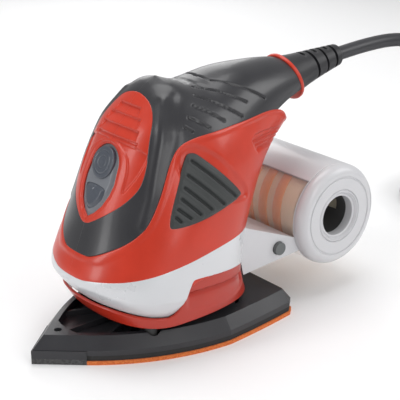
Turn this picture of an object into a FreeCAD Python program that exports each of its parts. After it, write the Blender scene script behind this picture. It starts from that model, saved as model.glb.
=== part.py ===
"""Orbital detail sander with a cyclone dust canister, built in millimetres.

Frame: +Z up, -Y towards the nose, origin on the sanding face at the motor axis.
The housing is a clamshell split on x = 0; every piece is a separate solid.
"""
import FreeCAD, Part
import math
import os
from FreeCAD import Vector

# ---------------------------------------------------------------- driving dimensions
# Base (iron-shaped)
base_length = 152.0
base_width = 105.0
sheet_thickness = 2.2
pad_thickness = 3.0
platen_top = 15.0
platen_floor = 9.0          # top face of the solid lower slab of the platen
platen_bevel = 5.5
tip_depth = 22.4            # length of the separate tip, from the point backwards
tip_height = 8.0
dust_hole_radius = 4.5

# Body shell
body_width = 96.0
skin = 1.5                  # thickness of grip, band and pad inlays
wall = 3.0
boot_bottom = 20.0
boot_floor = 2.5
boot_split = 43.0           # seam between boot and clamshell
head_top = 144.8
handle_end_angle = 66.0     # slope of the handle's end plane about the sweep line

# Motor and drive
shaft_radius = 4.0
journal_radius = 3.0
orbit_radius = 1.0
lower_bearing_radius = 11.0
lower_bearing_width = 7.0
upper_bearing_radius = 9.5
upper_bearing_width = 6.0
orbit_bearing_radius = 11.0
orbit_bearing_width = 7.0
stator_radius = 26.0
stator_length = 30.0
air_gap = 0.6
armature_radius = 14.2
commutator_radius = 9.5
commutator_length = 10.0
fan_radius = 28.0
fan_height = 8.5
leg_radius = 3.6

# Switch
round_button_radius = 8.4

# Dust canister
drum_radius = 31.0
drum_length = 78.0
drum_wall = 2.0
exhaust_radius = 12.1
duct_radius = 8.0
duct_wall = 1.5

# Mains lead
cord_diameter = 8.5
guard_tip_radius = 6.6
coil_mean_diameter = 95.0

# Fits
gap = 0.3                   # between bodies that move against each other
fit = 0.05                  # running fit of a shaft in a bore
seat = 0.1                  # loose seat of a piece inside its own body

os.makedirs("parts", exist_ok=True)
nodes = {}


# ---------------------------------------------------------------- solid helpers
def box(x0, x1, y0, y1, z0, z1):
    return Part.makeBox(x1 - x0, y1 - y0, z1 - z0, Vector(x0, y0, z0))


def rod(radius, start, end):
    axis = Vector(*end).sub(Vector(*start))
    return Part.makeCylinder(radius, axis.Length, Vector(*start), axis)


def tube(outer, inner, start, end):
    return rod(outer, start, end).cut(rod(inner, start, end))


def upright(radius, z0, z1, x=0.0, y=0.0):
    return rod(radius, (x, y, z0), (x, y, z1))


def ring(outer, inner, z0, z1, x=0.0, y=0.0):
    return tube(outer, inner, (x, y, z0), (x, y, z1))


def polygon_face(points):
    points = [Vector(*p) for p in points]
    return Part.Face(Part.makePolygon(points + [points[0]]))


def side_prism(outline, x0, x1):
    """Prism of a (y, z) outline between two x planes."""
    return polygon_face([(x0, y, z) for y, z in outline]).extrude(Vector(x1 - x0, 0, 0))


def flat_prism(outline, z0, z1):
    """Prism of an (x, y) outline between two z planes."""
    return polygon_face([(x, y, z0) for x, y in outline]).extrude(Vector(0, 0, z1 - z0))


def sector(outer, inner, half_angle, z0, z1, middle_angle):
    """Annular sector about the motor axis."""
    first = math.radians(middle_angle - half_angle)
    last = math.radians(middle_angle + half_angle)
    middle = (first + last) / 2

    def at(radius, angle):
        return Vector(radius * math.cos(angle), radius * math.sin(angle), z0)
    edges = [Part.Arc(at(outer, first), at(outer, middle), at(outer, last)).toShape(),
             Part.makeLine(at(outer, last), at(inner, last)),
             Part.Arc(at(inner, last), at(inner, middle), at(inner, first)).toShape(),
             Part.makeLine(at(inner, first), at(outer, first))]
    return Part.Face(Part.Wire(edges)).extrude(Vector(0, 0, z1 - z0))


def joined(shapes):
    result = shapes[0]
    if len(shapes) > 1:
        result = result.multiFuse(shapes[1:])
    return result


def group(shapes):
    solids = []
    for shape in shapes:
        solids += shape.Solids
    return Part.makeCompound(solids)


def mirrored(shape):
    return shape.mirror(Vector(0, 0, 0), Vector(1, 0, 0))


def keep(name, shape):
    """Hold a node's finished solids for export."""
    solids = [solid for solid in shape.Solids if solid.Volume > 0.5]
    nodes[name] = solids[0] if len(solids) == 1 else Part.makeCompound(solids)


def keep_pair(name, right):
    keep(name + "_right", right)
    keep(name + "_left", mirrored(right))


# ---------------------------------------------------------------- body surface
def smooth_curve(stations):
    """Shape-preserving cubic through (place, value) stations."""
    at = [float(s[0]) for s in stations]
    value = [float(s[1]) for s in stations]
    step = [b - a for a, b in zip(at, at[1:])]
    rise = [(b - a) / h for a, b, h in zip(value, value[1:], step)]
    slope = [rise[0]] + [0.0] * (len(at) - 2) + [rise[-1]]
    for i in range(1, len(at) - 1):
        if rise[i - 1] * rise[i] > 0:
            before = 2 * step[i] + step[i - 1]
            after = step[i] + 2 * step[i - 1]
            slope[i] = (before + after) / (before / rise[i - 1] + after / rise[i])

    def curve(place):
        place = min(max(place, at[0]), at[-1])
        i = max(k for k in range(len(step)) if place >= at[k])
        t = (place - at[i]) / step[i]
        return (value[i] * (1 + 2 * t) * (1 - t) ** 2 + step[i] * slope[i] * t * (1 - t) ** 2
                + value[i + 1] * t * t * (3 - 2 * t) - step[i] * slope[i + 1] * t * t * (1 - t))
    return curve


# The flanks and handle are swept about a line along X through (sweep_y, sweep_z);
# their stations run by angle in degrees from the horizontal at the back of the base.
sweep_y = 152.0
sweep_z = 17.0
sweep_middle = smooth_curve([(0, 158), (10, 157), (25, 150), (32, 147), (43, 143), (51, 135.5), (66, 121.5)])
sweep_back = smooth_curve([(0, 95), (8, 102), (20, 107), (35, 106), (45, 103), (55, 102), (66, 107)])
sweep_front = smooth_curve([(0, 187), (3, 194), (6, 200.5), (8, 202), (11, 199.8), (16, 193), (22, 187),
                            (38, 181), (43, 176), (46.5, 169.5), (51, 162), (58, 149), (66, 136)])
sweep_width = smooth_curve([(0, 0.94), (8, 1.0), (14, 1.0), (20, 0.98), (28, 0.917), (35, 0.823),
                            (45, 0.625), (51, 0.52), (58, 0.417), (66, 0.312)])
sweep_front_power = smooth_curve([(0, 2.6), (6, 2.35), (20, 2.3), (35, 2.3), (51, 2.1), (66, 2.0)])
sweep_back_power = smooth_curve([(0, 3.2), (10, 3.0), (30, 2.6), (50, 2.3), (66, 2.0)])
# The motor head is stacked in level slices; its stations run by height.
head_front = smooth_curve([(15, -30), (20, -34), (36, -45.5), (43.5, -48.4), (55, -44.2), (71.5, -39.3),
                           (81, -36.3), (99, -28.5), (112, -22), (121, -16.8), (131, -8.8), (137, -3.5),
                           (142, 3), (head_top, 9)])
head_back = smooth_curve([(15, 40), (60, 50), (100, 50), (121, 42), (131, 35), (138, 26), (head_top, 10)])
head_width = smooth_curve([(15, 0.833), (43, 0.917), (60, 0.906), (80, 0.865), (99, 0.80), (112, 0.73),
                           (121, 0.656), (131, 0.52), (137, 0.406), (142, 0.24), (head_top, 0.02)])
head_power = smooth_curve([(15, 2.2), (80, 2.2), (100, 2.35), (121, 2.4), (head_top, 2.1)])
blend_radius = 9.0


def oval_distance(a, b, half_a, half_b, power):
    """Signed distance, near enough, of (a, b) from a superellipse."""
    share = ((abs(a) / half_a) ** power + (abs(b) / half_b) ** power) ** (1 / power)
    return math.hypot(a, b) * (1 - 1 / max(share, 1e-6))


def body_distance(x, y, z):
    """Signed distance, near enough, from the body surface; negative inside."""
    rho = math.hypot(sweep_y - y, z - sweep_z)
    angle = math.degrees(math.atan2(z - sweep_z, sweep_y - y))
    middle = sweep_middle(angle)
    if rho > middle:
        depth, power = sweep_front(angle) - middle, sweep_front_power(angle)
    else:
        depth, power = middle - sweep_back(angle), sweep_back_power(angle)
    flank = oval_distance(x, rho - middle, sweep_width(angle) * body_width / 2, depth, power)
    front, back = head_front(z), head_back(z)
    head = oval_distance(x, y - (front + back) / 2, head_width(z) * body_width / 2, (back - front) / 2,
                         head_power(z)) + max(z - head_top, 0.0)
    near = max(1 - abs(flank - head) / blend_radius, 0.0)
    return min(flank, head) - blend_radius * near * near / 4


def section_point(angle, around, inset):
    """Point of the inset body in one swept section; around runs -90 (back) to 90 (front)."""
    tilt, turn = math.radians(angle), math.radians(around)
    middle = sweep_middle(angle)

    def at(reach):
        rho = middle + reach * math.sin(turn)
        return (reach * math.cos(turn), sweep_y - rho * math.cos(tilt), sweep_z + rho * math.sin(tilt))
    low, high = 0.0, 90.0
    for _ in range(24):
        reach = (low + high) / 2
        if body_distance(*at(reach)) < -inset:
            low = reach
        else:
            high = reach
    return Vector(*at(low))


def half_body(inset):
    """Right half of the body, inset from its surface, cut flat on x = 0."""
    angles = [-2, 3, 6.5, 10, 15, 20, 26, 32, 37, 40.5, 44, 47.5, 51, 55, 60, handle_end_angle]
    turns = [-90 + 10 * i for i in range(19)]
    places = [i / (len(turns) - 1) for i in range(len(turns))]
    wires = []
    for angle in angles:
        points = [section_point(angle, turn, inset) for turn in turns]
        points[0].x = points[-1].x = 0.0
        curve = Part.BSplineCurve()
        curve.interpolate(Points=points, Parameters=places, Scale=False,
                          InitialTangent=Vector(1, 0, 0), FinalTangent=Vector(-1, 0, 0))
        wires.append(Part.Wire([curve.toShape(), Part.makeLine(points[-1], points[0])]))
    return Part.makeLoft(wires, True, False)


outer_half = half_body(0.0)
skin_half = half_body(skin)
inner_half = half_body(wall)

# ---------------------------------------------------------------- outlines on the body (y, z)
grip_edge = [(-70, 56), (-46, 56.5), (-42.7, 59.7), (-38.9, 62.9), (-32, 68), (-26.5, 72.8), (-21, 79),
             (-14.4, 91), (-9.3, 102), (-5.9, 108.3), (-2, 113.5), (3, 116.8), (12, 118.6), (28, 119.4),
             (49, 119.6), (70, 120), (84, 117), (92, 109), (118, 92), (150, 150), (90, 175), (-70, 175)]
band_top_edge = [(-70, 44.8), (-50, 45.2), (-48, 46.8), (-43, 48.1), (-36.6, 49.4), (-25.8, 51.7),
                 (-12.4, 54.9), (0.8, 57.4), (20, 60.5), (45, 61.5), (75, 61.5)]
band_window = [(75, 17), (55, 17), (43, 39), (36, 42.2), (-1, 46.2), (-4.7, 45), (-12, 25)]
band_low_edge = [(-25.6, 25.7), (-35.5, 27.5), (-44, 29.4), (-70, 29.6)]
side_pad_outline = [(1.5, 110.5), (6, 111.5), (9.5, 109.5), (34.5, 85.5), (34, 82.5), (-11.5, 74.3), (-14.5, 77)]
window_shelf = [(-2.5, 45.8), (34, 41.8), (38, 33.5), (2, 34.5), (-5, 38)]
# Front face plate, (x, z) from its lower point up the right side
face_outline = [(0, 71.5), (9.3, 76.6), (18.6, 83.4), (23.6, 88.7), (26.6, 94.2), (27.2, 99), (26.5, 106),
                (24.6, 113), (21.4, 123.3), (17, 130.4), (10.6, 136.1), (0, 138.6)]
face_back_y = 2.0


def side_zone(outline):
    return side_prism(outline, -5, body_width)


grip_zone = side_zone(grip_edge)
face_ring = face_outline + [(-x, z) for x, z in reversed(face_outline[1:-1])]
face_zone = polygon_face([(x, -70, z) for x, z in face_ring]).extrude(Vector(0, 70 + face_back_y, 0))
grip_zone = grip_zone.cut(face_zone)
band_zone = side_zone(band_top_edge + band_window + band_low_edge)
pad_zone = side_zone(side_pad_outline)
shelf_zone = side_zone(window_shelf)
grip_layer = grip_zone.cut(skin_half)
band_layer = band_zone.cut(skin_half)
pad_layer = pad_zone.cut(skin_half)
shelf_layer = shelf_zone.cut(skin_half)

below_all = box(-5, body_width, -120, 220, -60, boot_bottom)
above_split = box(-5, body_width, -120, 220, boot_split, 220)
below_split = box(-5, body_width, -120, 220, -60, boot_split)

shell = outer_half.cut(inner_half).cut(below_all)
grip_right = grip_layer.common(outer_half)
band_right = band_layer.common(outer_half).cut(below_all)
pad_right = pad_layer.common(outer_half)

# ---------------------------------------------------------------- face frame
# Local frame of the switch face: u along X, v up the face, w out of it.
face_low = Vector(0, head_front(81.0), 81.0)
face_high = Vector(0, head_front(112.0), 112.0)
face_up = face_high.sub(face_low).normalize()
face_out = Vector(0, -face_up.z, face_up.y)
face_middle_z = 95.5
face_origin = Vector(0, head_front(face_middle_z), face_middle_z)
round_button_v = 9.2
lower_button_v = -9.6


def on_face(u, v, w):
    point = Vector(u, 0, 0).add(face_origin)
    return point.add(Vector(face_up).multiply(v)).add(Vector(face_out).multiply(w))


def face_prism(outline, w0, w1):
    """Prism of a (u, v) outline between two depths along the face normal."""
    points = [on_face(u, v, w0) for u, v in outline]
    return Part.Face(Part.makePolygon(points + [points[0]])).extrude(Vector(face_out).multiply(w1 - w0))


def face_rod(radius, v, w0, w1, u=0.0):
    return Part.makeCylinder(radius, w1 - w0, on_face(u, v, w0), face_out)


def arc_points(radius, u, v, first, last, count):
    turns = [math.radians(first + (last - first) * i / count) for i in range(count + 1)]
    return [(u + radius * math.cos(t), v + radius * math.sin(t)) for t in turns]


def teardrop(grow):
    """Switch bezel outline: round at the top, pointed at the bottom."""
    side = [(12.6 + grow, 0), (11.6 + grow, -6), (8.6 + grow, -13), (4.2 + grow, -18)]
    top = arc_points(11.6 + grow, 0, 7.6, 20, 160, 8)
    return [(0, -20.5 - grow)] + side[::-1] + top + [(-u, v) for u, v in side]


def shield(grow):
    """Lower button outline: a straight top and a pointed foot."""
    return [(-7.8 - grow, -3.2 + grow), (7.8 + grow, -3.2 + grow), (8.2 + grow, -6.5), (6.4 + grow, -12),
            (0, -17.6 - grow), (-6.4 - grow, -12), (-8.2 - grow, -6.5)]


bezel_outline = teardrop(0.0)
bezel = face_prism(bezel_outline, -4.5, 0.2)
bezel_pocket = face_prism(bezel_outline, -8.0, 12)
round_hole = face_rod(round_button_radius + gap, round_button_v, -30, 12)
shield_hole = face_prism(shield(gap), -30, 12)
switch_bezel = bezel.cut(round_hole).cut(shield_hole)

# ---------------------------------------------------------------- clamshell halves
screw_places = [(-34, 58), (38, 66), (44, 106), (13, 124), (78, 123)]
boss_radius = 5.5
screw_radius = 1.9
screw_head_radius = 3.6
screw_head_depth = 11.0     # from the split plane to the underside of the head
screw_reach = 12.0

stator_bottom = 50.0
stator_top = stator_bottom + stator_length
upper_bearing_bottom = 104.0
upper_bearing_top = upper_bearing_bottom + upper_bearing_width


def motor_ribs():
    """Cross ribs that carry the stator and the upper bearing."""
    ribs = []
    for z in (stator_bottom + 2, stator_top - 4.5):
        plate = box(0, body_width, -60, 30, z, z + 2.5)
        ribs.append(plate.common(outer_half).cut(upright(stator_radius + seat, z - 1, z + 4)))
    plate = box(0, body_width, -60, 26, upper_bearing_bottom, upper_bearing_top)
    seat_hole = upright(upper_bearing_radius + fit, upper_bearing_bottom - 1, upper_bearing_top + 1)
    ribs.append(plate.common(outer_half).cut(seat_hole))
    return [rib.common(skin_half) for rib in ribs]


ribs = motor_ribs()
ribs[2] = ribs[2].cut(face_prism([(-20, -30), (20, -30), (20, 30), (-20, 30)], -17.5, 10))
bosses = [rod(boss_radius, (0, y, z), (body_width / 2, y, z)).common(skin_half) for y, z in screw_places]
clamshell = shell.common(above_split)
for layer in (grip_layer, band_layer, pad_layer, shelf_layer):
    clamshell = clamshell.cut(layer)
clamshell = clamshell.multiFuse(ribs[:2] + bosses).cut(upright(stator_radius + seat, 40, 100))
clamshell = clamshell.fuse(ribs[2]).cut(bezel_pocket)

vent_slots = [(98 - 5 * i, 52 + 3.2 * i, 84 - 3.6 * i) for i in range(3)]
for low_z, front_y, back_y in vent_slots:
    slot = side_prism([(front_y, low_z + 6), (back_y, low_z + 12), (back_y, low_z + 14.5),
                       (front_y, low_z + 8.5)], 12, body_width)
    clamshell = clamshell.cut(slot)
for i in range(4):
    half = 8.5 + 3 * i
    z = 132.2 - 5.2 * i
    clamshell = clamshell.cut(box(-1, half, -60, face_back_y, z - 1.2, z + 1.2))

shank_holes = [rod(screw_radius + seat, (-1, y, z), (screw_reach + 1, y, z)) for y, z in screw_places]
housing_right = clamshell.cut(group(shank_holes))
counterbores = [rod(screw_head_radius + 0.5, (screw_head_depth, y, z), (body_width, y, z))
                for y, z in screw_places]
left_cut = group(counterbores + [rod(screw_radius + seat, (-1, y, z), (screw_head_depth + 1, y, z))
                                 for y, z in screw_places])
keep("housing_right", housing_right)
keep("housing_left", mirrored(clamshell.cut(left_cut)))
keep("grip_right", grip_right)
keep("grip_left", mirrored(grip_right.cut(left_cut)))
keep("side_pad_right", pad_right)
keep("side_pad_left", mirrored(pad_right.cut(left_cut)))
keep("switch_bezel", switch_bezel)
keep("housing_screws", group([
    rod(screw_radius, (-screw_head_depth, y, z), (screw_reach, y, z)).fuse(
        rod(screw_head_radius, (-screw_head_depth - 2.5, y, z), (-screw_head_depth, y, z)))
    for y, z in screw_places]))

# ---------------------------------------------------------------- boot and band
leg_places = [(31, -19), (31, 36)]
leg_bottom = platen_floor + 1.2
leg_top = 34.0
leg_flange = 1.8
hub_opening = orbit_bearing_radius + 5 + orbit_radius + 1.5

fan_chamber_roof = 37.0
duct_z = 40.0
duct_start = 37.0
duct_end = 66.0


def make_boot():
    half = shell.common(below_split).cut(band_layer).cut(shelf_layer)
    floor = box(0, body_width, -120, 220, boot_bottom, boot_bottom + boot_floor).common(skin_half)
    half = half.fuse(floor)
    boot = half.fuse(mirrored(half))
    boot = boot.cut(upright(hub_opening, 0, 30))
    for side in (-1, 1):
        for x, y in leg_places:
            boot = boot.cut(upright(leg_radius + seat, 10, 30, side * x, y))
    return boot.cut(rod(duct_radius + duct_wall + seat, (0, duct_start, duct_z), (0, 80, duct_z)))


duct_hole = rod(duct_radius + duct_wall + seat, (0, duct_start, duct_z), (0, 80, duct_z))
keep("boot", make_boot())
keep_pair("band", band_right.cut(duct_hole))
for side_name in ("housing_right", "housing_left"):
    keep(side_name, nodes[side_name].cut(duct_hole))
keep("dust_duct", tube(duct_radius + duct_wall, duct_radius, (0, duct_start + seat, duct_z), (0, duct_end, duct_z)))


def support_legs():
    legs = []
    for side in (-1, 1):
        for x, y in leg_places:
            stem = upright(leg_radius, leg_bottom, leg_top, side * x, y)
            flange = upright(leg_radius + leg_flange, boot_bottom + boot_floor, boot_bottom + boot_floor + 3, side * x, y)
            legs.append(stem.fuse(flange))
    return group(legs)


keep("support_legs", support_legs())

# ---------------------------------------------------------------- motor: fixed pieces
lower_bearing_bottom = 38.5
lower_bearing_top = lower_bearing_bottom + lower_bearing_width
plate_radius = 35.0
plate_thickness = 2.5
hub_wall = 3.0


def bearing(outer_radius, bore_radius, z0, z1, x=0.0, y=0.0):
    """Ball bearing: outer race, inner race and the shielded row between them, as one body."""
    race = (outer_radius - bore_radius) * 0.28
    shield_inset = 0.6
    solid = ring(outer_radius, outer_radius - race, z0, z1, x, y)
    solid = solid.fuse(ring(bore_radius + race, bore_radius, z0, z1, x, y))
    return solid.fuse(ring(outer_radius - race, bore_radius + race, z0 + shield_inset, z1 - shield_inset, x, y))


def bearing_plate():
    disc = upright(plate_radius, fan_chamber_roof, fan_chamber_roof + plate_thickness)
    hub = upright(lower_bearing_radius + hub_wall, fan_chamber_roof, lower_bearing_top)
    plate = disc.fuse(hub).cut(upright(lower_bearing_radius + seat, lower_bearing_bottom, 60))
    plate = plate.cut(upright(lower_bearing_radius - 2.5, 30, 60))
    for angle in (30, 90, 150, 210, 270, 330):
        plate = plate.cut(sector(30, 19, 20, 30, 60, angle))
    plate = plate.cut(duct_hole)
    return plate.common(skin_half.fuse(mirrored(skin_half)))


keep("bearing_plate", bearing_plate())
keep("lower_bearing", bearing(lower_bearing_radius, shaft_radius + fit, lower_bearing_bottom, lower_bearing_top))
keep("upper_bearing", bearing(upper_bearing_radius, journal_radius + fit, upper_bearing_bottom, upper_bearing_top))

pole_half_angle = 40.0
coil_half_angle = 64.0
yoke_thickness = 4.0
bore_radius = armature_radius + air_gap
coil_overhang = 4.0


def stator_core():
    core = ring(stator_radius, stator_radius - yoke_thickness, stator_bottom, stator_top)
    poles = [sector(stator_radius - yoke_thickness + 0.5, bore_radius, pole_half_angle, stator_bottom, stator_top,
                    angle) for angle in (0, 180)]
    return joined([core] + poles)


def field_coils():
    coils = []
    outer = stator_radius - yoke_thickness - 0.4
    inner = bore_radius + 0.6
    for angle in (0, 180):
        whole = sector(outer, inner, coil_half_angle, stator_bottom - coil_overhang, stator_top + coil_overhang, angle)
        window = sector(outer + 2, inner - 2, pole_half_angle + 1.2, stator_bottom - 0.4, stator_top + 0.4, angle)
        coils.append(whole.cut(window))
    return group(coils)


keep("stator_core", stator_core())
keep("field_coils", field_coils())

commutator_bottom = 88.0
commutator_top = commutator_bottom + commutator_length
brush_z = (commutator_bottom + commutator_top) / 2
brush_width = 7.0
brush_height = 5.5
holder_wall = 1.2
holder_start = commutator_radius + 1.2
brush_end = commutator_radius + 10.0
holder_end = brush_end + 8.5
brush_lift = 0.12


def brush_set():
    """Right-hand brush holder, carbon brush and spring."""
    half_w, half_h = brush_width / 2, brush_height / 2
    outer = box(holder_start, holder_end, -half_w - holder_wall, half_w + holder_wall,
                brush_z - half_h - holder_wall, brush_z + half_h + holder_wall)
    cavity = box(holder_start - 1, holder_end - holder_wall, -half_w - seat, half_w + seat,
                 brush_z - half_h - seat, brush_z + half_h + seat)
    brush = box(commutator_radius - 1, brush_end, -half_w, half_w, brush_z - half_h, brush_z + half_h)
    brush = brush.cut(upright(commutator_radius + brush_lift, 60, 120))
    spring = tube(2.2, 1.5, (brush_end, 0, brush_z), (holder_end - holder_wall, 0, brush_z))
    return outer.cut(cavity), brush, spring


for brush_name, brush_shape in zip(("brush_holders", "carbon_brushes", "brush_springs"), brush_set()):
    keep(brush_name, group([brush_shape, mirrored(brush_shape)]))

# ---------------------------------------------------------------- motor: rotor
pin_bottom = platen_floor + 0.7
crank_bottom = 19.8
crank_top = 26.5
fan_bottom = crank_top + 0.3
journal_start = 101.0
shaft_top = upper_bearing_top + 1.5
counterweight_radius = 15.5


def armature_shaft():
    shaft = upright(shaft_radius, crank_bottom, journal_start)
    journal = upright(journal_radius, journal_start, shaft_top)
    pin = upright(shaft_radius, pin_bottom, crank_bottom + 1, 0, orbit_radius)
    return joined([shaft, journal, pin])


def counterweight():
    hub = upright(shaft_radius + 4, crank_bottom, crank_top)
    weight = sector(counterweight_radius, shaft_radius + 2, 75, crank_bottom + 0.2, crank_top, -90)
    return hub.fuse(weight).cut(upright(shaft_radius, 0, 60)).cut(upright(shaft_radius, 0, 60, 0, orbit_radius))


def fan():
    disc = upright(fan_radius, fan_bottom, fan_bottom + 1.6)
    hub = upright(shaft_radius + 4, fan_bottom, fan_bottom + fan_height)
    blades = []
    for i in range(9):
        blade = box(shaft_radius + 3.5, fan_radius, -0.7, 0.7, fan_bottom + 1, fan_bottom + fan_height)
        blade.rotate(Vector(12, 0, 0), Vector(0, 0, 1), 24)
        blade.rotate(Vector(0, 0, 0), Vector(0, 0, 1), 40 * i)
        blades.append(blade.common(upright(fan_radius, 0, 60)))
    return joined([disc, hub] + blades).cut(upright(shaft_radius, 0, 60))


def armature_core():
    core = upright(armature_radius, stator_bottom, stator_top)
    for i in range(12):
        angle = math.radians(30 * i)
        x, y = (armature_radius - 3.2) * math.cos(angle), (armature_radius - 3.2) * math.sin(angle)
        slot = upright(1.9, stator_bottom - 1, stator_top + 1, x, y)
        mouth = box(armature_radius - 3.2, armature_radius + 1, -0.7, 0.7, stator_bottom - 1, stator_top + 1)
        mouth.rotate(Vector(0, 0, 0), Vector(0, 0, 1), 30 * i)
        core = core.cut(slot.fuse(mouth))
    return core.cut(upright(shaft_radius, 0, 200))


def armature_windings():
    ends = [ring(armature_radius - 1.4, shaft_radius + 0.8, stator_bottom - 3.6, stator_bottom),
            ring(armature_radius - 1.4, shaft_radius + 0.8, stator_top, stator_top + 4.6)]
    bars = []
    for i in range(12):
        angle = math.radians(30 * i)
        x, y = (armature_radius - 3.2) * math.cos(angle), (armature_radius - 3.2) * math.sin(angle)
        bars.append(upright(1.75, stator_bottom - 0.5, stator_top + 0.5, x, y))
    return joined(ends + bars)


def commutator():
    drum = ring(commutator_radius, shaft_radius, commutator_bottom, commutator_top)
    for i in range(24):
        groove = box(commutator_radius - 0.8, commutator_radius + 1, -0.25, 0.25,
                     commutator_bottom - 1, commutator_top + 1)
        groove.rotate(Vector(0, 0, 0), Vector(0, 0, 1), 15 * i)
        drum = drum.cut(groove)
    return drum.fuse(ring(commutator_radius + 1, shaft_radius, commutator_bottom - 2.2, commutator_bottom))


keep("armature_shaft", armature_shaft())
keep("counterweight", counterweight())
keep("fan", fan())
keep("armature_core", armature_core())
keep("armature_windings", armature_windings())
keep("commutator", commutator())

# ---------------------------------------------------------------- platen and what it carries
orbit_bearing_bottom = platen_floor + 1.0
orbit_bearing_top = orbit_bearing_bottom + orbit_bearing_width
boss_wall = 3.5
boss_top = orbit_bearing_top + 0.4
pad_top = sheet_thickness + pad_thickness
tip_line = -base_length / 2 + tip_depth
pocket_bottom = 10.0
dust_holes = [(20, -20), (26, 12), (15, 38)]


def base_outline(inset, z):
    """Iron-shaped outline: pointed nose, bowed flanks, straight back with cut corners."""
    half_length, half_width = base_length / 2, base_width / 2

    def at(along, across):
        return Vector(across * half_width, along * half_length, z)
    right = [(-0.683, 0.404), (-0.333, 0.724), (0.287, 0.962), (0.645, 0.915), (0.94, 0.856)]
    tip, back = at(-1, 0), at(1, 0)
    shoulder, waist, widest, flank, corner = [at(*p) for p in right]
    rear = at(1, 0.78)

    def flip(p):
        return Vector(-p.x, p.y, p.z)
    edges = [Part.makeLine(tip, shoulder),
             Part.Arc(shoulder, waist, widest).toShape(),
             Part.Arc(widest, flank, corner).toShape(),
             Part.makeLine(corner, rear),
             Part.makeLine(rear, flip(rear)),
             Part.makeLine(flip(rear), flip(corner)),
             Part.Arc(flip(corner), flip(flank), flip(widest)).toShape(),
             Part.Arc(flip(widest), flip(waist), flip(shoulder)).toShape(),
             Part.makeLine(flip(shoulder), tip)]
    wire = Part.Wire(edges)
    return wire if inset == 0 else wire.makeOffset2D(-inset, 2)


def base_slab(inset, z0, z1):
    return Part.Face(base_outline(inset, z0)).extrude(Vector(0, 0, z1 - z0))


def holes(radius, z0, z1):
    return group([upright(radius, z0, z1, side * x, y) for side in (-1, 1) for x, y in dust_holes])


ahead_of_tip_line = box(-100, 100, -200, tip_line, -5, 40)
behind_tip_line = box(-100, 100, tip_line, 200, -5, 40)
access_hole = upright(orbit_bearing_radius - 4, -5, platen_floor + 1.5)


def platen():
    top_inset = base_outline(platen_bevel, platen_top)
    bevel = Part.makeLoft([base_outline(0.6, pad_top + 3), top_inset], True, True)
    slab = base_slab(0.6, pad_top, pad_top + 3.05).fuse(bevel)
    pocket = Part.makeCylinder(1.0, 20, Vector(0, 0, pocket_bottom))
    stretch = FreeCAD.Matrix()
    stretch.A11, stretch.A22 = 42.0, 54.0
    pocket = pocket.transformGeometry(stretch)
    pocket = pocket.common(base_slab(platen_bevel + 3.0, pocket_bottom - 1, 30))
    pocket = pocket.common(box(-100, 100, -200, -6, 0, 40))
    slab = slab.cut(pocket)
    ribs = []
    for angle in (-50, -25, 0, 25, 50):
        rib = box(-0.9, 0.9, -54, -15, pocket_bottom - 0.5, pocket_bottom + 3.2)
        rib.rotate(Vector(0, 0, 0), Vector(0, 0, 1), angle)
        ribs.append(rib.common(base_slab(platen_bevel + 1, 5, 16)))
    boss = upright(orbit_bearing_radius + boss_wall, pad_top, boss_top)
    slab = joined([slab, boss] + ribs)
    slab = slab.cut(upright(orbit_bearing_radius + seat, orbit_bearing_bottom, 40, 0, orbit_radius))
    slab = slab.cut(access_hole).cut(holes(dust_hole_radius, 0, 40))
    for side in (-1, 1):
        for x, y in leg_places:
            socket = leg_radius + orbit_radius + gap + 0.4
            slab = slab.cut(upright(socket, platen_floor, 40, side * x, y + orbit_radius))
    notch = ahead_of_tip_line.common(box(-100, 100, -200, 200, -5, tip_height))
    return slab.cut(notch).cut(upright(2.2, 0, 40, 0, tip_line - 5))


keep("platen", platen())
keep("orbit_bearing", bearing(orbit_bearing_radius, shaft_radius + fit, orbit_bearing_bottom,
                              orbit_bearing_top, 0, orbit_radius))
keep("bearing_cover", ring(orbit_bearing_radius + boss_wall - 0.5, orbit_bearing_radius - 2.5,
                           boss_top, boss_top + 1.0, 0, orbit_radius * 0.5))
cut_through = access_hole.fuse(group([holes(dust_hole_radius, -5, 20)]))
keep("base_pad", base_slab(0.9, sheet_thickness, pad_top).common(behind_tip_line).cut(cut_through))
keep("sanding_sheet", base_slab(0.0, 0, sheet_thickness).common(behind_tip_line)
     .cut(holes(dust_hole_radius, -5, 20)))
keep("tip_sheet", base_slab(0.0, 0, sheet_thickness + 1.0).common(ahead_of_tip_line))
keep("tip_plate", base_slab(0.0, sheet_thickness + 1.0, tip_height).common(ahead_of_tip_line)
     .cut(upright(1.9, 0, 40, 0, tip_line - 5)))
keep("tip_screw", upright(1.8, sheet_thickness + 1.2, platen_top - 2, 0, tip_line - 5))

# ---------------------------------------------------------------- switch
rocker_pivot_w = -10.5
rocker_arm = (round_button_v - lower_button_v) / 2
pivot_v = (round_button_v + lower_button_v) / 2


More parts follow.
